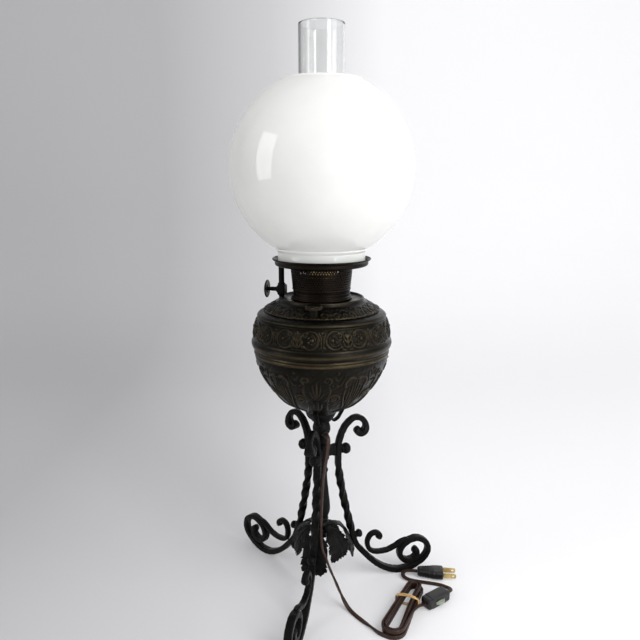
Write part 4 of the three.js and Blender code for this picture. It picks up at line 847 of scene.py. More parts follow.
def make_stem():
    outer = through(
        shares(column_shares, 0, column_radius, column_bottom, hub_bottom - clearance - column_bottom), 110
    )
    angle = circle(64)
    marks = 0.16 * ripple(angle[None], 6, outer[:, 1:], 3, pitch=8)
    iron_piece("turned_column", bored(outer, column_bottom, hub_bottom - clearance, 64, marks), "column")

    outer = through(shares(neck_bulb_shares, 0, bulb_radius, bulb_bottom, bulb_tall), 60)
    iron_piece(
        "turned_neck_bulb",
        bored(outer, bulb_bottom, bulb_top, 64, 0.12 * ripple(angle[None], 6, outer[:, 1:], 4, pitch=7)),
        "neck_bulb"
    )

    lower_hub_top, lower_hub_radius = lower_hub_bottom + lower_hub_thick, 11
    outer = rounded(
        [
            (pipe_hole, lower_hub_bottom), (lower_hub_radius, lower_hub_bottom),
            (lower_hub_radius, lower_hub_top), (pipe_hole, lower_hub_top)
        ],
        1.2
    )
    profile = np.vstack([outer, outer[:1]])
    iron_piece("clamp_disc", lathe(profile, 48), "lower_hub")

    boss = rounded(
        [(pipe_hole, hub_bottom), (hub_boss, hub_bottom), (hub_boss, hub_top), (pipe_hole, hub_top)], 2.0
    )
    shells = [lathe(np.vstack([boss, boss[:1]]), 48)]
    arm_end = neck_radius - bar_thick / 2 - clearance
    count = 12
    for angle_of in leg_angles.values():
        line = np.stack([np.linspace(6.5, arm_end, count), np.zeros(count), np.full(count, hub_height)], 1)
        u, v = square_section(circle(28), 6)
        swell = 1 + 0.06 * np.cos(np.linspace(0, TAU, count))[:, None]
        rings_at = tube(
            line, UPRIGHT, SIDEWAYS, v[None] * 0.46 * hub_arm_tall * swell,
            u[None] * 0.46 * hub_arm_wide * swell
        )
        points, faces = closed_tube(rings_at)
        shells.append((turned_about(points, angle_of), faces))
    iron_piece("hub_with_arms", together(*shells), "upper_hub")


bowl_radius, bowl_deep = 78.5, 73
bowl_shares = [
    (0.256, 0), (0.398, 0.116), (0.585, 0.232), (0.756, 0.435), (0.897, 0.68), (0.982, 0.913), (1, 1)
]
bowl_outline = shares(bowl_shares, 0, bowl_radius, bowl_bottom, bowl_deep)
cup_shares = [(0.67, 0), (0.78, 0.25), (0.95, 0.7), (1, 1)]
strap_shares = [(0.1, 0.12), (0.28, -0.17), (0.52, 0.02), (0.7, 0.5), (0.84, 0.9)]


def make_cup():
    outer = through(shares(cup_shares, 0, cup_radius, cup_bottom, cup_tall), 24)
    shells = [bored(outer, cup_bottom, cup_top, 64)]
    (r0, z0), (r1, z1) = bowl_outline[0], bowl_outline[1]
    long = np.hypot(r1 - r0, z1 - z0)
    strap_root, strap_wide, strap_thick = 9.36, 7, 2.6
    away = clearance + strap_thick / 2
    touch = (r0 * 0.16 + r1 * 0.84, z0 * 0.16 + z1 * 0.84)
    end = (touch[0] + away * (z1 - z0) / long, touch[1] - away * (r1 - r0) / long)
    route = shares(strap_shares, strap_root, end[0] - strap_root, cup_bottom, cup_tall) + [end]
    for number, angle_of in enumerate(leg_angles.values()):
        points, faces = forged_bar(
            route, 90, steady(strap_wide), steady(strap_thick), power=4, round_end=1.3, hammer=0.1,
            seed=51 + number
        )
        shells.append((turned_about(points, angle_of), faces))
    iron_piece("font_cup_and_straps", together(*shells), "font_cup")


make_legs()
make_bolts()
make_leaves()
make_stem()
make_cup()

# ---------------------------------------------------------------- embossed ornament

def stroke_field(x, y, strokes):
    """Height of raised strokes, 0 to 1.

    Each stretch of a stroke is a round-backed ridge: the root of 1 minus the square of the distance
    from its line over its half width there. The highest stroke counts.
    """
    height = np.zeros(np.broadcast(x, y).shape)
    for line in strokes:
        for (x0, y0, w0), (x1, y1, w1) in zip(line[:-1], line[1:]):
            dx, dy = x1 - x0, y1 - y0
            t = np.clip(((x - x0) * dx + (y - y0) * dy) / max(dx * dx + dy * dy, 1e-9), 0, 1)
            away = np.hypot(x - x0 - t * dx, y - y0 - t * dy) / (w0 + t * (w1 - w0))
            height = np.maximum(height, np.sqrt(np.clip(1 - away**2, 0, 1)) * (w0 + t * (w1 - w0)) ** 0.5)
    return height


def spiral(centre, start, end, radius, last_radius, wide, last_wide, count=26):
    """A scroll as a stroke: angle runs from start to end in degrees while the radius and width run on."""
    t = np.linspace(0, 1, count)
    angle = np.radians(start + (end - start) * t)
    far = radius + (last_radius - radius) * t**0.8
    return np.stack(
        [centre[0] + far * np.cos(angle), centre[1] + far * np.sin(angle), wide + (last_wide - wide) * t], 1
    )


def sweep(points, wide, last_wide, count=14):
    """A smooth stroke through points, its width running from one end's to the other's."""
    line, _ = curve([(x, y, 0) for x, y in points], count)
    t = np.linspace(0, 1, count + 1)
    swell = np.sin(np.pi * np.clip(t, 0.02, 0.98)) ** 0.35
    return np.stack([line[:, 0], line[:, 1], (wide + (last_wide - wide) * t) * swell], 1)


def dot(x, y, wide):
    return np.array([(x, y, wide), (x + 0.01, y, wide)])


def upper_band_strokes():
    """Half a repeat of the upper band, 27.2 mm by 24 mm: C-scrolls back to back, and half a leaf."""
    strokes = [
        spiral((13.2, 12.4), 42, 318, 9.6, 9.4, 0.9, 1.1, 34),
        spiral((14.0, 12.4), 60, 300, 6.6, 6.4, 0.45, 0.45, 28),
        spiral((18.6, 17.4), 130, -260, 3.0, 0.9, 1.0, 0.6, 26), dot(20.4, 5.4, 1.5),
        sweep([(0, 1.5), (1.2, 8), (1.4, 14), (4.0, 20.5)], 0.8, 1.2),
        sweep([(3.6, 3.0), (1.6, 5.2), (0.2, 9.5)], 1.0, 0.5), dot(0.2, 20.4, 1.3), dot(0.2, 17.2, 0.9),
        sweep([(27.2, 2.2), (27.2, 12), (27.2, 22)], 1.3, 0.8),
        sweep([(26.6, 4.2), (23.4, 7.0), (22.2, 11.4), (24.4, 12.6)], 1.5, 0.8),
        sweep([(26.6, 9.0), (24.2, 12.8), (22.9, 16.4), (24.8, 17.4)], 1.4, 0.7),
        sweep([(26.8, 14.0), (25.2, 17.4), (24.8, 20.6)], 1.2, 0.6),
        sweep([(26.0, 2.4), (22.8, 2.2), (19.4, 2.6)], 1.1, 0.5), dot(10.8, 12.6, 1.9), dot(14.6, 14.8, 1.2),
        dot(14.8, 10.2, 1.2), dot(11.4, 16.4, 0.9), dot(11.6, 8.6, 0.9),
    ]
    return strokes


def lower_band_strokes(tall):
    """Half a repeat of the lower band, 45.2 mm wide: a feathered fan, a rosette scroll and half a shell."""
    at = lambda x, share: (x, share * tall)
    strokes = [
        sweep([at(0, 0.60), at(0.2, 0.70), at(0, 0.84)], 1.4, 1.0),
        sweep([at(0.6, 0.58), at(3.4, 0.68), at(4.2, 0.80)], 1.3, 0.9),
        sweep([at(0.8, 0.55), at(5.8, 0.62), at(8.4, 0.70)], 1.2, 0.8),
        sweep([at(0, 0.20), at(1.0, 0.34), at(0.2, 0.52)], 1.6, 0.9),
        sweep([at(1.2, 0.28), at(5.0, 0.38), at(5.6, 0.48)], 1.3, 0.7),
        spiral(at(11.4, 0.86), -60, 330, 5.2, 1.4, 1.1, 0.9, 30),
        sweep([at(13.4, 0.79), at(15.6, 0.70), at(13.6, 0.60), at(9.0, 0.52)], 1.0, 1.5),
        spiral(at(22.0, 0.56), 200, -420, 8.6, 1.6, 1.4, 1.2, 52), dot(*at(22.0, 0.56), 1.9),
        sweep([at(14.0, 0.50), at(14.6, 0.36), at(22.0, 0.24), at(34.0, 0.14)], 1.2, 1.7),
        sweep([at(18.0, 0.92), at(22.6, 0.86), at(27.0, 0.92)], 1.0, 0.8),
        sweep([at(20.4, 0.80), at(25.0, 0.78), at(28.6, 0.84), at(30.4, 0.93)], 0.8, 1.0),
        dot(*at(22.6, 0.95), 1.2), dot(*at(17.6, 0.79), 1.0), dot(*at(31.8, 0.66), 1.1),
        dot(*at(30.6, 0.52), 0.9), spiral(at(39.2, 0.80), 60, 215, 7.2, 7.6, 1.2, 1.4, 22),
        sweep([at(32.8, 0.75), at(33.2, 0.58), at(38.2, 0.40), at(43.4, 0.16)], 1.5, 1.2),
        sweep([at(45.2, 0.16), at(45.2, 0.44), at(45.2, 0.88)], 1.0, 1.3),
        sweep([at(41.6, 0.30), at(38.4, 0.52), at(38.0, 0.74)], 0.7, 1.5),
        sweep([at(43.8, 0.30), at(42.0, 0.54), at(41.8, 0.82)], 0.7, 1.5),
        sweep([at(31.0, 0.10), at(37.0, 0.20), at(40.0, 0.30)], 0.8, 0.5),
        sweep([at(4.0, 0.06), at(16.0, 0.12), at(26.0, 0.08)], 1.0, 0.8),
    ]
    return strokes


def dome_strokes():
    """Half a repeat of the dome's band, 14 mm by 18 mm: a small scroll with leaves beside a bud."""
    return [
        spiral((6.6, 9.0), 250, -110, 4.6, 1.2, 0.9, 0.8, 28),
        sweep([(4.4, 4.4), (8.8, 2.6), (14.0, 3.4)], 0.9, 0.7),
        sweep([(0, 3), (0, 9), (0, 15.2)], 1.2, 0.8),
        sweep([(0.4, 8), (2.0, 11.6), (1.6, 15)], 0.9, 0.5),
        sweep([(9.6, 12.2), (12.0, 14.6), (14.0, 15.2)], 0.8, 0.7),
        sweep([(14.0, 5), (12.6, 8.4), (14.0, 12)], 0.9, 0.8),
        dot(10.9, 6.2, 0.8), dot(3.4, 15.4, 0.8), dot(8.8, 15.6, 0.7),
    ]


def band(columns, repeats, half_wide, heights, strokes, centre_angle, low, high):
    """An embossed band on a lathe's grid: half a repeat is worked out and mirrored round the axis.

    The ground between the strokes is pebbled. Returns the height for each corner, faded out at the
    band's lower and upper edges.
    """
    angle = np.degrees(circle(columns)) - centre_angle
    period = 360 / repeats
    folded = np.abs((angle + period / 2) % period - period / 2) / (period / 2) * half_wide
    fade = smoothstep(heights, low, low + 1.2) * (1 - smoothstep(heights, high - 1.2, high))
    field = stroke_field(folded[None], heights[:, None], [np.asarray(s) * [1, 1, 1.25] for s in strokes])
    around, reach = np.radians(angle)[None], 70
    ground = 0.5 + 0.5 * ripple(around, reach, heights[:, None], 61, waves=4, pitch=3.6)
    return (field + 0.32 * ground * (1 - np.clip(field, 0, 1))) * fade[:, None]


def walked_along(profile):
    return np.concatenate([[0], np.cumsum(np.linalg.norm(np.diff(profile, axis=0), axis=1))])


# ---------------------------------------------------------------- font

facing = -72.5  # the side of the lamp that looks at the camera, in degrees about Z
font_columns = 720
bead_bottom, bead_tall, bead_out = bowl_bottom + bowl_deep, 7.4, 0.9
bead_top = bead_bottom + bead_tall
shell_wall, bowl_wall = 1.5, 1.6
spigot_radius = bowl_radius - shell_wall - clearance - 0.6 * bowl_wall
shell_bottom, shell_tall = bead_top + clearance, 43.7
ledge_radius = bowl_radius - 13.7
ledge_top = shell_bottom + shell_tall
flange_bottom, flange_radius, dome_rise = ledge_top + clearance, ledge_radius + 2.5, 12.7
dome_edge = flange_radius - 18.2
burner_hole = 29.2
dome_top = flange_bottom + dome_rise
tank_radius, tank_wall = ledge_radius - 2.3, 1.2
font_angle = circle(font_columns)


def offset(profile, wall):
    """A profile moved to its left by a wall: the inner side of a shell."""
    slope = unit(np.gradient(np.asarray(profile, float), axis=0))
    return profile + wall * np.stack([-slope[:, 1], slope[:, 0]], 1)


def rubbed_metal(profile, emboss, bright):
    """How bare the metal is at each corner.

    It is bare on the crests of the ornament, and on rings listed as (height, half width, how much).
    """
    rings = np.zeros(len(profile))
    for height, half, how_much in bright:
        rings = np.maximum(rings, how_much * bump(profile[:, 1], height, half))
    drift = 0.75 + 0.25 * ripple(font_angle[None], profile[:, :1], profile[:, 1:], 9, pitch=60)
    return np.clip((np.maximum(0.24 * np.clip(emboss, 0, 1.4) ** 2, rings[:, None])) * drift, 0, 1)


def font_piece(name, node_name, outer, inner, emboss, height, bright):
    """Outer profile with its ornament, then the plain inner profile back, as one closed shell."""
    profile = np.vstack([outer, inner, outer[:1]])
    lift = np.zeros((len(profile), font_columns))
    lift[1:len(outer) - 1] = (height * emboss)[1:-1]
    worn = np.zeros_like(lift)
    worn[:len(outer)] = rubbed_metal(outer, emboss, bright)
    points, faces = lathe(profile, font_columns, lift)
    add_piece(name, (points, faces), BRONZE, "stand", "bronze", node_name, marks={"rubbed": worn}, sharp=50)


def make_font():
    bowl = through(bowl_outline, 112)
    along_bowl = walked_along(bowl)
    tall = along_bowl[-1]
    r = bowl_radius
    bead = through([
        (r, bead_bottom), (r - 0.1, bead_bottom + 0.5), (r + 0.5, bead_bottom + 1.0),
        (r + bead_out, bead_bottom + 2.4), (r + bead_out - 0.2, bead_bottom + 3.7),
        (r + 0.2, bead_bottom + 4.3), (r + 0.6, bead_bottom + 4.9), (r + 0.6, bead_bottom + 6.0),
        (r + 0.2, bead_bottom + 6.7), (r, bead_top),
    ], 34)
    outer = np.vstack([bowl, bead[1:]])
    heights = np.concatenate([along_bowl, np.full(len(bead) - 1, tall + 50)])
    emboss = band(
        font_columns, 5, 45.2, heights, lower_band_strokes(tall), facing - 8, 0.05 * tall, 0.99 * tall
    )
    spigot = [
        (spigot_radius, bead_top), (spigot_radius, bead_top + 6), (spigot_radius - bowl_wall, bead_top + 6),
        (spigot_radius - bowl_wall, bead_bottom),
    ]
    inner = np.vstack(
        [
            spigot, offset(through(bowl_outline, 12), bowl_wall)[::-1][1:],
            [(pipe_hole, bowl_bottom + bowl_wall), (pipe_hole, bowl_bottom)]
        ]
    )
    bright = [(bead_bottom + 2.5, 2.6, 0.8), (bead_bottom + 6.0, 1.5, 0.62)]
    font_piece("embossed_bowl", "lower_bowl", outer, inner, emboss, 1.3, bright)

    drop = bowl_radius - ledge_radius
    bottom, top = shell_bottom, shell_bottom + shell_tall
    outline = shares([
        (0, 0), (0.12, 0.015), (0.2, 0.05), (0.25, 0.1), (0.27, 0.145), (0.245, 0.195), (0.16, 0.235),
        (0.1, 0.275), (0.085, 0.33), (0.06, 0.42), (0, 0.54), (-0.1, 0.66), (-0.21, 0.75), (-0.32, 0.8),
        (-0.335, 0.825), (-0.26, 0.855), (-0.245, 0.88), (-0.29, 0.9), (-0.36, 0.925), (-0.6, 0.965),
        (-0.82, 0.99), (-1, 1),
    ], bowl_radius, drop, bottom, shell_tall)
    outer = through(outline, 118)
    along_shell = walked_along(outer)
    low = np.interp(bottom + 0.27 * shell_tall, outer[:, 1], along_shell)
    high = np.interp(bottom + 0.80 * shell_tall, outer[:, 1], along_shell)
    emboss = band(
        font_columns, 9, 27.2, (along_shell - low) * 24 / (high - low), upper_band_strokes(), facing - 3, 0.4,
        23.6
    )
    behind = shares([
        (0, 0.39), (-0.11, 0.57), (-0.32, 0.755), (-0.43, 0.82), (-0.34, 0.87), (-0.43, 0.915),
        (-0.86, 0.985),
    ], bowl_radius, drop, bottom, shell_tall)
    inner = np.vstack([
        [(ledge_radius, top), (ledge_radius, top - shell_wall)], offset(behind, shell_wall)[::-1],
        [(spigot_radius + clearance, bottom + 0.25 * shell_tall), (spigot_radius + clearance, bottom)],
    ])
    bright = [
        (bottom + 0.12 * shell_tall, 2.9, 0.62), (bottom + 0.87 * shell_tall, 2.2, 0.5),
        (bottom + 0.255 * shell_tall, 1.0, 0.3)
    ]
    font_piece("embossed_shell", "upper_shell", outer, inner, emboss, 1.2, bright)

    span = flange_radius - dome_edge
    outline = [(tank_radius - tank_wall, flange_bottom), (flange_radius, flange_bottom)] + shares([
        (1.0, 0.04), (0.985, 0.09), (0.93, 0.125), (0.87, 0.14), (0.75, 0.24), (0.64, 0.36), (0.5, 0.475),
        (0.36, 0.6), (0.23, 0.71), (0.13, 0.79), (0.07, 0.86), (0.03, 0.96), (0.01, 1.06), (-0.03, 1.14),
        (-0.09, 1.165), (-0.14, 1.11), (-0.17, 1.0), (-0.3, 0.97), (-0.5, 0.985),
    ], dome_edge, span, flange_bottom, dome_rise) + [(burner_hole, dome_top)]
    outer = np.vstack([outline[:1], through(outline[1:], 96)])
    along_dome = walked_along(outer)
    sloped = (outer[:, 0] < dome_edge + 0.87 * span) & (outer[:, 0] > dome_edge + 0.1 * span)
    first = along_dome[sloped][0]
    last = along_dome[sloped][-1]
    emboss = band(
        font_columns, 12, 14.0, (along_dome - first) * 18 / (last - first), dome_strokes(), facing + 5, 0.2,
        17.8
    )
    inner = np.array([
        (burner_hole, dome_top - tank_wall), (dome_edge - 0.15 * span, dome_top - tank_wall),
        *shares([(0.03, 0.82), (0.36, 0.48), (0.62, 0.26)], dome_edge, span, flange_bottom, dome_rise),
    ])
    bright = [(flange_bottom + 0.09 * dome_rise, 1.0, 0.5), (flange_bottom + 1.1 * dome_rise, 1.6, 0.25)]
    font_piece("embossed_tank_dome", "tank_top", outer, inner, emboss, 0.7, bright)


filler_reach, filler_angle, filler_rise = flange_radius - 6.8, -84, 1.08
filler_place = turned_about([filler_reach, 0, 0], filler_angle)


def make_filler():
    top = dome_top + filler_rise
    cap_top = top + clearance + 1.5
    low = cap_top - 4.9
    outer = rounded([
        (6.9, low), (9.4, low), (9.4, low + 3.0), (8.7, low + 3.3), (8.5, low + 4.0), (7.2, cap_top),
        (3.0, cap_top - 0.35), (2.6, cap_top), (0, cap_top),
    ], 0.5)
    profile = np.vstack([[(0, cap_top - 1.5), (6.9, cap_top - 1.5)], outer])
    angle = circle(144)
    knurl = (np.cos(36 * angle) * 0.22)[None] * ((profile[:, :1] > 9.0) & (profile[:, 1:] > low + 0.3))
    points, faces = lathe(profile, 144, knurl)
    worn = np.broadcast_to(0.16 * smoothstep(profile[:, :1], 8.4, 9.3) + 0.04, (len(profile), 144))
    add_piece(
        "knurled_cap", (points + filler_place, faces), BRONZE, "filler_lid", "bronze", "filler_cap",
        marks={"rubbed": worn}, sharp=35
    )


make_font()
make_filler()


# ---------------------------------------------------------------- burner

collar_bottom = dome_top + clearance
collar_top = collar_bottom + 10.2
gallery_bottom = collar_top + clearance
gallery_foot, gallery_tall, gallery_flare, gallery_wall = 33.4, 27.2, 2.6, 1.2
gallery_top = gallery_bottom + gallery_tall
seat_top = gallery_bottom + 19.2
ring_bottom = gallery_top + clearance


def gallery_radius(height):
    return gallery_foot + gallery_flare * (height - gallery_bottom) / gallery_tall


def perforated(rows, columns, heights, radius_at, wall, hole_share):
    """A sheet bent round the axis with staggered round holes, closed all round.

    Every cell is a ring of faces between its border and its hole, on the outer and the inner side,
    joined through the hole. Cells of every other row stand half a cell on, and their border points meet.
    """
    steps = np.array([
        (-0.5, -0.5), (-0.25, -0.5), (0, -0.5), (0.25, -0.5), (0.5, -0.5), (0.5, 0),
        (0.5, 0.5), (0.25, 0.5), (0, 0.5), (-0.25, 0.5), (-0.5, 0.5), (-0.5, 0),
    ])
    count = len(steps)
    heading = np.arctan2(steps[:, 1], steps[:, 0])
    cell_tall = (heights[1] - heights[0]) / rows
    points, faces, first = [], [], 0
    for row in range(rows):
        middle = heights[0] + (row + 0.5) * cell_tall
        cell_wide = TAU * radius_at(middle) / columns
        hole = hole_share[row]
        number = np.arange(columns) + 0.5 * (row % 2)
        hole_step = np.stack([hole / cell_wide * np.cos(heading), hole / cell_tall * np.sin(heading)], 1)
        rings = []
        for inside, around in ((0, steps), (0, hole_step), (wall, hole_step), (wall, steps)):
            angle = (number[:, None] + around[None, :, 0]) / columns * TAU
            height = middle + around[None, :, 1] * cell_tall + 0 * angle
            radius = radius_at(height) - inside
            rings.append(np.stack([radius * np.cos(angle), radius * np.sin(angle), height], -1))
        block = np.stack(rings, 1)
        points.append(block.reshape(-1, 3))
        k = np.arange(count)
        nxt = (k + 1) % count
        for level in range(3):
            a, b = level * count + k, level * count + nxt
            one = np.stack([a, b, b + count, a + count], 1)
            cells = np.arange(columns)[:, None, None] * 4 * count + one[None]
            faces.append(cells.reshape(-1, 4) + first)
        first += columns * 4 * count
    return np.concatenate(points), np.concatenate(faces)


def make_burner():
    angle = circle(160)
    low_band = (collar_bottom + 4.2, collar_top - 0.6)
    r = 33.0
    foot = rounded([
        (r - 1.4, low_band[0]), (r - 1.4, collar_bottom), (35.5, collar_bottom), (35.5, collar_bottom + 1.5),
        (34.2, collar_bottom + 2.0), (34.5, collar_bottom + 2.8), (33.9, collar_bottom + 3.6),
        (r, low_band[0]),
    ], 0.5)
    sheet = perforated(2, 78, low_band, steady(r), 1.4, [0.62, 0.62])
    top = rounded(
        [
            (r, low_band[1]), (r + 0.25, low_band[1] + 0.1), (r, collar_top), (r - 1.4, collar_top),
            (r - 1.4, low_band[1])
        ],
        0.15
    )
    shells = [lathe(foot, 156), sheet, lathe(top, 156)]
    add_piece("pierced_collar", together(*shells), BURNER, "stand", "copper", "burner_collar", sharp=45)

    rows = 9
    low, high = gallery_bottom + 1.6, gallery_top - 2.0
    hem = rounded([
        (gallery_foot - gallery_wall, low), (gallery_foot - gallery_wall, gallery_bottom),
        (gallery_foot, gallery_bottom), (33.95, gallery_bottom + 0.5), (33.95, gallery_bottom + 1.0),
        (gallery_radius(low), low),
    ], 0.25)
    rim_radius = gallery_radius(high)
    rim = rounded([
        (rim_radius, high), (rim_radius + 0.1, high + 0.5), (gallery_radius(gallery_top), gallery_top),
        (gallery_radius(gallery_top) - gallery_wall, gallery_top), (rim_radius - gallery_wall, high),
    ], 0.2)
    sizes = [0.8, 0.9, 0.95, 1.0, 1.0, 1.05, 1.05, 1.05, 1.05]
    sheet = perforated(rows, 72, (low, high), gallery_radius, gallery_wall, sizes)
    seat = np.array([
        (gallery_radius(seat_top) - gallery_wall - 0.05, seat_top), (30.4, seat_top), (30.4, seat_top - 1.4),
        (gallery_radius(seat_top) - gallery_wall - 0.05, seat_top - 1.4),
        (gallery_radius(seat_top) - gallery_wall - 0.05, seat_top),
    ])
    shells = [lathe(hem, 156), sheet, lathe(rim, 156), lathe(seat, 156)]
    add_piece("pierced_gallery", together(*shells), BURNER, "stand", "copper", "gallery", sharp=45)


ring_radius, ring_lip, ring_wall, ring_tall, ring_floor = 53.8, 56.75, 1.6, 8.5, 48.8
spoke_top = ring_bottom + ring_wall


def make_shade_ring():
    b = ring_bottom
    profile = rounded([
        (ring_floor, b + 0.1), (ring_radius - 2.2, b), (ring_radius - 0.2, b + 1.3), (ring_radius, b + 4.6),
        (ring_radius + 0.5, b + 5.6), (ring_lip - 0.6, b + 6.6), (ring_lip, b + 7.5),
        (ring_lip - 0.3, b + ring_tall), (ring_lip - 1.3, b + ring_tall), (ring_lip - 1.9, b + 7.4),
        (ring_radius - 1.4, b + 6.0), (ring_radius - ring_wall, b + 5.0),
        (ring_radius - ring_wall, spoke_top), (ring_floor, spoke_top), (ring_floor, b + 0.1),
    ], 0.8)
    hoop_inner = gallery_radius(gallery_top) + 0.6
    hoop = rounded([
        (hoop_inner, b - 2.9), (hoop_inner + 1.4, b - 2.9), (hoop_inner + 2.4, b - 1.6),
        (hoop_inner + 2.9, spoke_top), (hoop_inner, spoke_top), (hoop_inner, b - 2.9),
    ], 0.5)
    shells = [lathe(profile, 180), lathe(hoop, 180)]
    for angle in between_angles.values():
        line = np.stack(
            [np.linspace(hoop_inner + 1.2, ring_floor + 1.2, 20), np.zeros(20), np.full(20, spoke_top - 0.9)],
            1
        )
        flare = 1 + 0.45 * np.abs(np.linspace(-1, 1, 20))[:, None] ** 3
        u, v = square_section(circle(20), 5)
        rings_at = tube(line, UPRIGHT, SIDEWAYS, v[None] * 0.9, u[None] * 3 * flare)
        points, faces = closed_tube(rings_at)
        shells.append((turned_about(points, angle), faces))
    add_piece("channelled_shade_ring", together(*shells), BURNER, "stand", "copper", "shade_ring")


raiser_reach, knob_reach, housing_half = dome_edge - 1.9, 67.3, 5.85
raiser = np.array([-raiser_reach, 0, dome_top + 0.17 * dome_rise + clearance + housing_half])
rack_side, rack_channel, knob_thick = -4.1575, 2.9, 2.6


def rounded_block(low, high, power=7, count=16, sides=28):
    """A block with rounded edges: rounded-square rings along its height that draw in at both ends."""
    low, high = np.asarray(low, float), np.asarray(high, float)
    t = np.linspace(-1, 1, count)
    draw = (1 - np.abs(t) ** power) ** (1 / power)
    draw = np.maximum(draw, 0.82)[:, None]
    u, v = square_section(circle(sides), power)
    middle, half = (low + high) / 2, (high - low) / 2
    line = np.stack([np.full(count, middle[0]), np.full(count, middle[1]), middle[2] + half[2] * t], 1)
    return tube(line, SIDEWAYS, np.array([1.0, 0.0, 0.0]), v[None] * half[1] * draw, u[None] * half[0] * draw)


def on_spindle(points):
    """What was made round the upright axis is laid along the raiser's spindle, towards the knob."""
    return along_x(points) * [-1, -1, 1] + raiser


def make_raiser():
    x, z = raiser[0], raiser[2]
    top = z + housing_half
    block = rounded_block((x - 4.5, -8.8, z - housing_half), (x + 4.5, 5.0, top))
    around = circle(block.shape[1])
    channel = [
        np.stack(
            [
                x + rack_channel * np.cos(around), rack_side + rack_channel * np.sin(around),
                level + 0 * around
            ],
            1
        )
        for level in (top, z - housing_half)
    ]
    block = np.concatenate([block, np.stack(channel), block[:1]])
    block = (block.reshape(-1, 3), grid_faces(len(block), block.shape[1]))
    boss = rounded([(2.9, 4.2), (4.4, 4.2), (4.4, 6.4), (3.7, 7.2), (2.9, 7.2), (2.9, 4.2)], 0.5)
    points, faces = lathe(boss, 40)
    points = on_spindle(points)
    socket = rounded(
        [
            (3.6, top - 1.3), (4.5, top - 1.3), (4.5, top + 1.7), (4.0, top + 2.3), (3.6, top + 2.3),
            (3.6, top - 1.3)
        ],
        0.4
    )
    around = lathe(socket, 40)
    around = (around[0] + [x, rack_side, 0], around[1])
    add_piece(
        "raiser_box", together(block, (points, faces), around), IRON, "stand", "bronze", "raiser_housing"
    )

    low, high = dome_top - 44, ring_bottom - clearance
    tube_profile = rounded([
        (2.5, low), (3.3, low), (3.3, high - 3.4), (3.0, high - 2.9), (3.3, high - 2.4), (3.3, high - 0.4),
        (2.9, high), (2.5, high), (2.5, low),
    ], 0.25)
    points, faces = lathe(tube_profile, 40)
    add_piece("rack_sleeve", (points + [x, rack_side, 0], faces), IRON, "stand", "bronze", "rack_tube")

    shaft_from, shaft_to = 2.5, knob_reach - raiser_reach - knob_thick - clearance
    shaft = rounded(
        [
            (0, shaft_from), (2.5, shaft_from), (2.5, shaft_to - 3), (2.1, shaft_to - 2.6),
            (2.1, shaft_to - 2.0), (2.5, shaft_to - 1.6), (2.5, shaft_to), (0, shaft_to)
        ],
        0.2
    )
    angle, teeth = circle(180), 9
    tooth = np.clip(2.2 * np.cos(teeth * (angle - 0.25 * TAU)), -1, 1)
    gear_radius = 2.81 + 0.5 * tooth
    gear_x, gear_y = gear_radius * np.cos(angle), gear_radius * np.sin(angle)
    gear_shares = ((0.01, -2.2), (0.97, -2.2), (1, -2.0), (1, 2.0), (0.97, 2.2), (0.5, 2.55))
    gear = [
        np.stack([share * gear_x, share * gear_y, np.full(180, level)], 1) for share, level in gear_shares
    ]
    gear_points, gear_faces = closed_tube(np.stack(gear))
    points, faces = together(lathe(shaft, 40), (gear_points, gear_faces))
    points = on_spindle(points)
    add_piece("toothed_spindle", (points, faces), IRON, "knob", "bronze", "pinion_shaft")

    radius, thick = 10.3, knob_thick
    face = rounded([
        (0, 0), (4.6, 0), (5.0, 0.7), (9.2, 0.75), (radius, 1.2), (radius, 1.9), (9.5, 2.5), (8.4, 2.35),
        (7.6, 2.0), (4.6, 1.75), (3.2, 2.2), (1.6, thick), (0, thick),
    ], 0.35)
    angle = circle(180)
    knurl = (0.18 * np.cos(45 * angle))[None] * smoothstep(face[:, :1], 9.7, 10.1)
    petals = (
        0.35 * np.clip(np.cos(12 * angle), 0, 1) ** 2
    )[None] * bump(face[:, :1], 6.2, 1.9) * (face[:, 1:] > 1.5)
    points, faces = lathe(face, 180, knurl + petals)
    points = points + [0, 0, knob_reach - raiser_reach - thick]
    worn = 0.35 * smoothstep(face[:, :1], 8.6, 9.9) + 0 * angle[None]
    add_piece(
        "embossed_knob", (on_spindle(points), faces), BURNER, "knob", "iron", "wick_knob",
        marks={"rubbed": worn}
    )


make_burner()
make_shade_ring()
make_raiser()


# ---------------------------------------------------------------- glass, lampholder and bulb

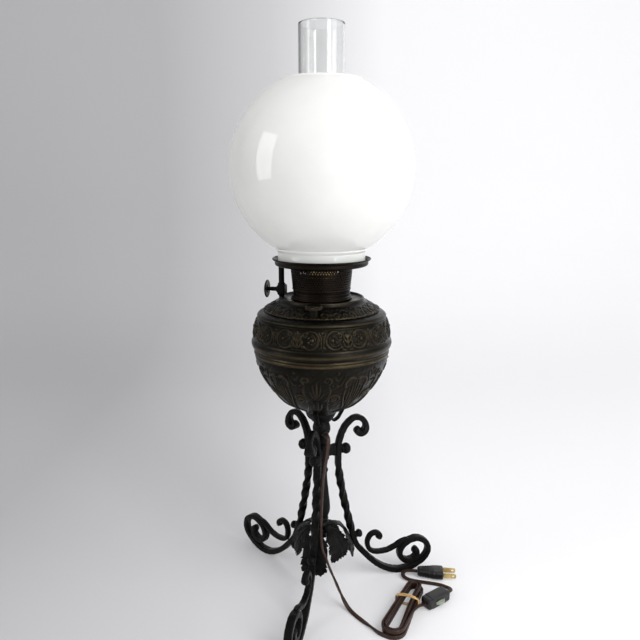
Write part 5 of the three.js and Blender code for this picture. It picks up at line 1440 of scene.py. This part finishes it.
def make_ball():
    radius, foot, mouth, wall = 103, 52.3, 44.6, 2.5
    bottom = spoke_top + clearance
    lip = bottom + 17.4
    centre = lip + np.sqrt(radius**2 - foot**2)
    low, high = np.arcsin(foot / radius) - np.pi / 2, np.pi / 2 - np.arcsin(mouth / radius)
    ball = np.array(
        [
            (radius * np.cos(a), centre + radius * np.sin(a))
            for a in np.linspace(low + 0.012, high - 0.02, 120)
        ]
    )
    top = centre + radius * np.sin(high)
    neck = rounded([
        (50.1, bottom), (50.3, bottom + 0.8), (50.2, lip - 5.5), (50.6, lip - 3.0), (52.6, lip - 1.2),
        (53.4, lip - 0.3), (53.5, lip + 0.5), tuple(ball[0]),
    ], 0.9)
    mouth_rim = rounded([
        tuple(ball[-1]), (mouth + 1.0, top + 0.2), (mouth + 0.6, top + 0.9), (mouth - 0.4, top + 1.2),
        (mouth - 1.4, top + 0.8), (mouth - 1.7, top - 0.2), (mouth - 1.2, top - 1.6),
    ], 0.5)
    inside = ball[::-1][3:-3:2]
    inside = np.stack(
        [inside[:, 0] * (1 - wall / radius), centre + (inside[:, 1] - centre) * (1 - wall / radius)], 1
    )
    neck_inside = rounded(
        [
            (50.0, lip + 1.6), (48.3, lip - 1.0), (47.7, lip - 3.5), (47.7, bottom + 0.8), (48.4, bottom),
            (50.1, bottom)
        ],
        0.8
    )
    profile = np.vstack([neck, ball[1:-1], mouth_rim, inside, neck_inside])
    add_piece("opal_ball", lathe(profile, 192), OPAL, "glass_shade", "opal_glass", "ball_shade", sharp=60)


def make_chimney():
    bottom, high, plain, wall = seat_top + clearance, 670.4, 25.4, 2.0
    table = [
        (1, 0), (1, 0.075), (1.13, 0.15), (0.95, 0.22), (0.3, 0.31), (0.02, 0.38), (0, 0.5), (0, 0.75), (0, 1)
    ]
    span = 32.8 - plain
    belly = (34.6 - plain) / span / 1.13
    outline = [
        (plain + out * span * (1 if k < 2 else belly), bottom + up * (high - bottom))
        for k, (out, up) in enumerate(table)
    ]
    outer = through(outline, 90)
    inner = offset(outer, wall)[::-1]
    rim = np.array(
        [(plain - 0.15, high), (plain - 0.85, high), (plain - 1.65, high), (plain - 1.95, high - 0.2)]
    )
    foot = np.array([(31.0, bottom + 0.1), (32.0, bottom)])
    profile = np.vstack([outer[:-1], [(plain, high - 0.5)], rim, inner[1:-1], foot, outer[:1]])
    add_piece(
        "drawn_chimney", lathe(profile, 144), GLASS, "glass_chimney", "clear_glass", "chimney", sharp=60
    )


socket_bottom = 398.3


def make_lampholder():
    bottom = socket_bottom
    profile = rounded([
        (2.5, bottom), (21.2, bottom), (21.2, bottom + 1.6), (18.5, bottom + 2.4), (15.9, bottom + 3.4),
        (15.5, bottom + 12), (16.0, bottom + 12.6), (16.0, bottom + 13.6), (15.5, bottom + 14.2),
        (15.5, bottom + 34.6), (15.0, bottom + 36), (13.9, bottom + 36), (13.9, bottom + 5.2),
        (2.5, bottom + 5.2), (2.5, bottom),
    ], 0.6)
    angle = circle(120)
    ridges = (0.12 * np.cos(40 * angle))[None] * (
        (profile[:, :1] > 15.3) & (profile[:, 1:] > bottom + 16) & (profile[:, 1:] < bottom + 33)
    )
    add_piece("brass_lampholder", lathe(profile, 120, ridges), BRASS, "stand", "brass", "lamp_socket")
    base = socket_bottom + 5.5
    table = [
        (0.76, 0), (0.76, 0.3), (0.8, 0.36), (0.92, 0.48), (1, 0.6), (0.97, 0.75), (0.78, 0.88), (0.42, 0.97),
        (0, 1)
    ]
    outer = through([(out * 17, base + up * 98) for out, up in table], 70)
    outer[-1, 0] = 0
    profile = np.vstack([[(0, base)], outer])
    add_piece("clear_bulb", lathe(profile, 96), GLASS, "stand", "clear_glass", "lamp_bulb", sharp=60)


make_ball()
make_chimney()
make_lampholder()


# ---------------------------------------------------------------- what is on the cord

def in_hank(points):
    return turned_about(points, hank_turn, hank_place)


def make_band():
    """Three strands of a twisted rubber band: rounded loops round the hank's waist.

    Each strand leans its own way and weaves about the others by a slow sine wave.
    """
    around_cord, strand_wide, strand_thick = 0.75, 0.85, 0.42
    taper_here = hank_taper * (hank_waist - hank_half) / (hank_long - 2 * hank_half)
    half_wide = (hank_half - taper_here) * (1 - hank_draw) + cord_thick / 2 + around_cord
    low, high = around_cord, hank_lift + 2 * cord_wide + layer_gap + around_cord
    middle, tall = (low + high) / 2, (high - low) / 2
    angle = circle(160)
    shells = []
    for strand, phase in enumerate((0.0, 2.1, 4.2)):
        u, v = square_section(angle, 3.2)
        weave = 0.42 * np.sin(3 * angle + phase)
        lean = 1.7 * np.cos(angle + 0.4) * (0.6 + 0.3 * strand) + 1.3 * np.sin(2 * angle + phase)
        line = np.stack(
            [
                u * (half_wide + weave), hank_waist + lean + 0.9 * (strand - 1),
                middle + v * (tall + 0.3 * weave)
            ],
            1
        )
        along = unit(np.roll(line, -1, 0) - np.roll(line, 1, 0))
        outward = unit(np.stack([u, 0 * u, v], 1))
        side = unit(np.cross(along, outward))
        twist = (2 * angle + phase)[:, None]
        a = side * np.cos(twist) + outward * np.sin(twist)
        b = np.cross(along, a)
        flat_u, flat_v = square_section(circle(10), 3)
        rings = tube(line, b, a, flat_v[None] * strand_thick, flat_u[None] * strand_wide)
        ring_count, around = rings.shape[:2]
        i, j = np.meshgrid(np.arange(ring_count), np.arange(around), indexing="ij")
        n, k = (i + 1) % ring_count, (j + 1) % around
        faces = np.stack([i * around + j, i * around + k, n * around + k, n * around + j], -1).reshape(-1, 4)
        shells.append((rings.reshape(-1, 3), faces))
    points, faces = together(*shells)
    points[:, 2] = np.maximum(points[:, 2], 0.12)
    return add_piece(
        "twisted_band", (in_hank(points), faces), RUBBER, "stand", "rubber_band", "hank_band", sharp=60
    )


switch_place, switch_turn = (145, -2.5, 0), 50
switch_long, switch_wide, switch_tall = 36, 16, 14
wheel_radius, wheel_thick, wheel_offset = 8.5, 4, 3.6


def switch_half(upper):
    """Half of the switch's body: half a rounded section carried along it.

    The wheel's pocket is sunk in its flat side.
    """
    x = np.concatenate([np.linspace(-1, -0.84, 10), np.linspace(-0.82, 0.82, 84), np.linspace(0.84, 1, 10)])
    end = np.clip((np.abs(x) - 0.8) / 0.2, 0, 0.999)
    draw = (1 - end**2.6) ** (1 / 2.6)
    half_wide = switch_wide / 2 * (0.55 + 0.45 * draw)
    half_tall = (switch_tall / 2) * (0.62 + 0.38 * draw)
    step = 1 - 0.10 * (np.abs(x) > 0.62)
    angle = np.linspace(np.pi, TAU, 25)
    u, v = square_section(angle, 6)
    under_y = half_wide[:, None] * u[None]
    under_z = switch_tall / 2 + (half_tall * step)[:, None] * v[None]
    flat_share = np.linspace(1, -1, 34)[1:-1]
    flat_y = half_wide[:, None] * flat_share[None]
    away = np.hypot(x[:, None] * switch_long / 2, flat_y + wheel_offset)
    seam, sunk = 0.15, wheel_thick / 2 + 0.25
    flat_z = switch_tall / 2 - seam - (sunk - seam) * (away < wheel_radius + 0.6)
    y = np.concatenate([under_y, flat_y], 1)
    z = np.concatenate([np.minimum(under_z, switch_tall / 2 - seam), flat_z], 1)
    rings = np.stack([np.broadcast_to(x[:, None] * switch_long / 2, y.shape), y, z], -1)
    points, faces = closed_tube(rings)
    if upper:
        points = points * [1, 1, -1] + [0, 0, switch_tall]
        faces = faces[:, ::-1]
    return turned_about(points, switch_turn, switch_place), faces


def make_switch():
    made = []
    for name, upper, node_name in (
        ("switch_under", False, "switch_lower"), ("switch_over", True, "switch_upper")
    ):
        points, faces = switch_half(upper)
        made.append(
            add_piece(name, (points, faces), BLACK_PLASTIC, "stand", "black_plastic", node_name, sharp=38)
        )
    low, high = switch_tall / 2 - wheel_thick / 2, switch_tall / 2 + wheel_thick / 2
    profile = rounded([
        (1.8, low), (5.6, low), (6.0, low + 0.5), (7.6, low + 0.5), (8.0, low), (wheel_radius, low + 0.5),
        (wheel_radius, high - 0.5), (8.0, high), (7.6, high - 0.5), (6.0, high - 0.5), (5.6, high),
        (1.8, high), (1.8, low),
    ], 0.25)
    angle = circle(240)
    knurl = (-0.28 * np.abs(np.sin(20 * angle)))[None] * smoothstep(profile[:, :1], 8.0, 8.4)
    points, faces = lathe(profile, 240, knurl)
    points = turned_about(points + [0, -wheel_offset, 0], switch_turn, switch_place)
    made.append(
        add_piece(
            "knurled_wheel", (points, faces), WHEEL_PLASTIC, "thumb_wheel", "wheel_plastic", "switch_wheel",
            sharp=35
        )
    )
    return made


plug_place, plug_turn = (117.7, 48.8, 0), 7.6
plug_long, plug_wide, plug_tall, blades_apart = 33, 21, 13, 12.7


def make_plug():
    """The plug's body swells from the cord to its shoulders; three finger ridges cross its waist."""
    t = np.linspace(0, 1, 90)
    out = np.interp(t, [0, 0.12, 0.4, 0.75, 1], [0.27, 0.33, 0.42, 0.5, 0.5])
    tall = plug_tall * (0.7 + 0.6 * (out - 0.27)) / 2
    end = np.maximum(np.clip((0.07 - t) / 0.07, 0, 1), np.clip((t - 0.94) / 0.06, 0, 1))
    draw = 1 - 0.16 * end**2.5
    ridges = -0.035 * np.clip(
        np.cos((t - 0.16) / 0.105 * TAU), 0, 1
    ) * smoothstep(t, 0.1, 0.14) * (1 - smoothstep(t, 0.46, 0.52))
    shoulder = 0.03 * bump(t, 0.62, 0.06)
    size = (draw * (1 + ridges + shoulder))[:, None]
    u, v = square_section(circle(40), 4.2)
    y = np.minimum(out[:, None] * plug_wide * size, plug_wide / 2) * v[None]
    z = plug_tall / 2 + tall[:, None] * size * u[None]
    rings = np.stack([np.broadcast_to(t[:, None] * plug_long, y.shape), y, z], -1)[:, ::-1]
    points, faces = closed_tube(rings)
    points = turned_about(points, plug_turn, plug_place)
    made = [
        add_piece("finger_ridged_plug", (points, faces), BLACK_PLASTIC, "stand", "black_plastic", "plug_body")
    ]
    for side, name in ((-1, "near"), (1, "far")):
        made.append(make_blade(side, name))
    return made


def make_blade(side, name):
    """A flat blade with a rounded tip and a round hole: rings of points from the hole to the outline."""
    long, tall, thick, hole = 16, 6.4, 1.5, 1.6
    hole_at = 0.8 * long - 0.3
    angle = circle(48)
    c, s = np.cos(angle), np.sin(angle)
    reach_right, reach_left = long - hole_at, hole_at
    to_side = np.where(c > 0, reach_right, reach_left) / np.maximum(np.abs(c), 1e-6)
    to_edge = (tall / 2) / np.maximum(np.abs(s), 1e-6)
    corner = np.where(c > 0, 0.86, 1.0)
    edge = np.minimum(np.minimum(to_side, to_edge), np.where(c > 0, 4.1 * corner / 0.86, 99))
    rings = []
    for far, depth in (
        (hole, thick / 2), (edge - 0.3, thick / 2), (edge, thick / 2 - 0.3), (edge, -thick / 2 + 0.3),
        (edge - 0.3, -thick / 2), (hole, -thick / 2), (hole, thick / 2)
    ):
        far = np.broadcast_to(far, angle.shape)
        rings.append(
            np.stack(
                [
                    plug_long + clearance + hole_at + far * c, np.full(48, side * blades_apart / 2) - depth,
                    plug_tall / 2 + far * s
                ],
                1
            )
        )
    points = np.stack(rings).reshape(-1, 3)
    return add_piece(
        "blade_" + name, (turned_about(points, plug_turn, plug_place), grid_faces(len(rings), 48)), BRASS,
        "stand", "brass", "plug_blade_" + name, sharp=35
    )


band_piece = make_band()
switch_pieces = make_switch()
plug_pieces = make_plug()
line, turn_up = main_cord()
lay_cord(
    "cord_and_hank", line, turn_up, ["cord_lead", "cord_hank", "cord_tail"],
    far_end="fitting", lay="coiled", with_pieces=[band_piece, *switch_pieces],
)
plug_line, _ = evenly(cord_plug_points, 260)
plug_line[:, 2] -= 0.9 * (1 - smoothstep(plug_line[:, 2], 2.7, 5))
lay_cord(
    "cord_and_plug", plug_line, 0.0, ["cord_to_plug"],
    far_end="plug", lay="loose", with_pieces=plug_pieces,
)


def make_inner_lead():
    """The lead inside the lamp: down the draft tube and the pipe, then a quarter turn out of the neck."""
    out = np.array([np.cos(np.radians(exit_angle)), np.sin(np.radians(exit_angle)), 0])
    bend = 6
    start = socket_bottom + 2.6
    turn = exit_height + bend
    down = [(0, 0, start + k / 5 * (turn + bend - start)) for k in range(6)]
    around = [
        tuple(out * bend * (1 - np.cos(a)) + [0, 0, turn - bend * np.sin(a)])
        for a in np.linspace(0, np.pi / 2, 5)
    ]
    line, _ = evenly(down + around + [tuple(out * (pipe_hole + 7.6) + [0, 0, exit_height])], 200)
    along = unit(np.gradient(line, axis=0))
    level = np.tile([-out[1], out[0], 0.0], (len(line), 1))
    lifted = unit(np.cross(level, along))
    section_across, section_out = flat_twin(16, cord_wide, cord_thick)
    add_piece(
        "lead_inside", closed_tube(tube(line, level, -lifted, section_across[None], section_out[None])), CORD,
        "stand", "cord", "inner_lead", sharp=60
    )


make_inner_lead()

for name, finish in {
    "pipe_nut": IRON, "centre_pipe": PIPE_STEEL, "lead_bushing": BLACK_PLASTIC, "font_tank": BRONZE,
    "filler_neck": BRONZE, "draft_tube": BURNER, "wick_tube": BURNER, "wick": COTTON, "wick_carrier": BURNER,
    "rack_bar": BRASS,
}.items():
    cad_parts[name].material_slots[0].material = finish

# ---------------------------------------------------------------- floor and backdrop

def surround():
    """The floor, a round cove and the wall behind: a profile carried sideways across the view."""
    side = np.array([view_across[1], -view_across[0]])
    depth = np.array([-3.0, 0.9, 1.1, 1.25, 1.35, 1.42, 1.45, 1.45])
    rise = np.array([0.0, 0.0, 0.02, 0.07, 0.15, 0.27, 0.42, 4.0])
    width = np.linspace(-4, 4, 9)
    w, k = np.meshgrid(width, np.arange(len(depth)), indexing="ij")
    x = side[0] * w + view_across[0] * depth[k]
    y = side[1] * w + view_across[1] * depth[k]
    points = np.stack([x, y, rise[k]], -1).reshape(-1, 3) / MM - [0, AXIS_BACK, 0]
    return points, grid_faces(9, len(depth), wrap=False)


def pale_paper():
    """Paper with painted light falloff: grey at the left of the view and near white at the right.

    Its colour is read off the sideways place across the view. What the camera sees is partly the
    paper's own glow, so that it stays even, and partly the lit paper, which keeps the shadow.
    """
    made, tree, shader = material("pale_paper", (0.8, 0.8, 0.8), 0.9)
    place = node(tree, "TexCoord").outputs["Object"]
    sideways = node(tree, "VectorMath", place, operation="DOT_PRODUCT")
    sideways.inputs[1].default_value = (view_across[1], -view_across[0], 0)
    span = node(tree, "MapRange", sideways.outputs["Value"], **{"From Min": -0.6, "From Max": 0.6})
    grey = lambda v: (v, v, 1.012 * v)
    # Painted light falloff: the paper's own colour darkens to the left, away from the window lamp.
    painted_falloff = ramp(
        tree, span.outputs[0], (0.08, grey(0.50)), (0.37, grey(0.65)), (0.5, grey(0.79)), (0.67, grey(0.97)),
        (0.85, grey(0.97))
    )
    tree.links.new(painted_falloff, shader.inputs["Base Color"])
    glow = node(tree, "Emission", painted_falloff)
    seen = node(tree, "Math", node(tree, "LightPath").outputs["Is Camera Ray"], operation="MULTIPLY")
    seen.inputs[1].default_value = 0.2
    mixed = node(tree, "MixShader", seen.outputs[0], shader.outputs[0], glow.outputs[0])
    tree.links.new(mixed.outputs[0], tree.nodes["Material Output"].inputs["Surface"])
    return made


backdrop = new_mesh("surround", *surround(), pale_paper())


def area_lamp(name, place, aim, size, power):
    data = bpy.data.lights.new(name, "AREA")
    data.shape = "RECTANGLE"
    data.size, data.size_y = size
    data.energy = power
    lamp = bpy.data.objects.new(name, data)
    lamp.location = place
    lamp.rotation_euler = (Vector(aim) - Vector(place)).to_track_quat("-Z", "Y").to_euler()
    bpy.context.scene.collection.objects.link(lamp)


area_lamp("window", (1.7, -0.7, 1.3), (0, 0, 0.3), (2.0, 2.0), 26)
area_lamp("window_strip", (0.70, -0.57, 1.35), (0, 0, 1.0), (0.1, 2.4), 9)
area_lamp("fill", (-1.9, -1.2, 0.95), (0, 0, 0.5), (0.9, 1.8), 14)
world = bpy.data.worlds.new("room")
bpy.context.scene.world = world
world.use_nodes = True
world.node_tree.nodes["Background"].inputs["Color"].default_value = (0.8, 0.8, 0.82, 1)
world.node_tree.nodes["Background"].inputs["Strength"].default_value = 0.6
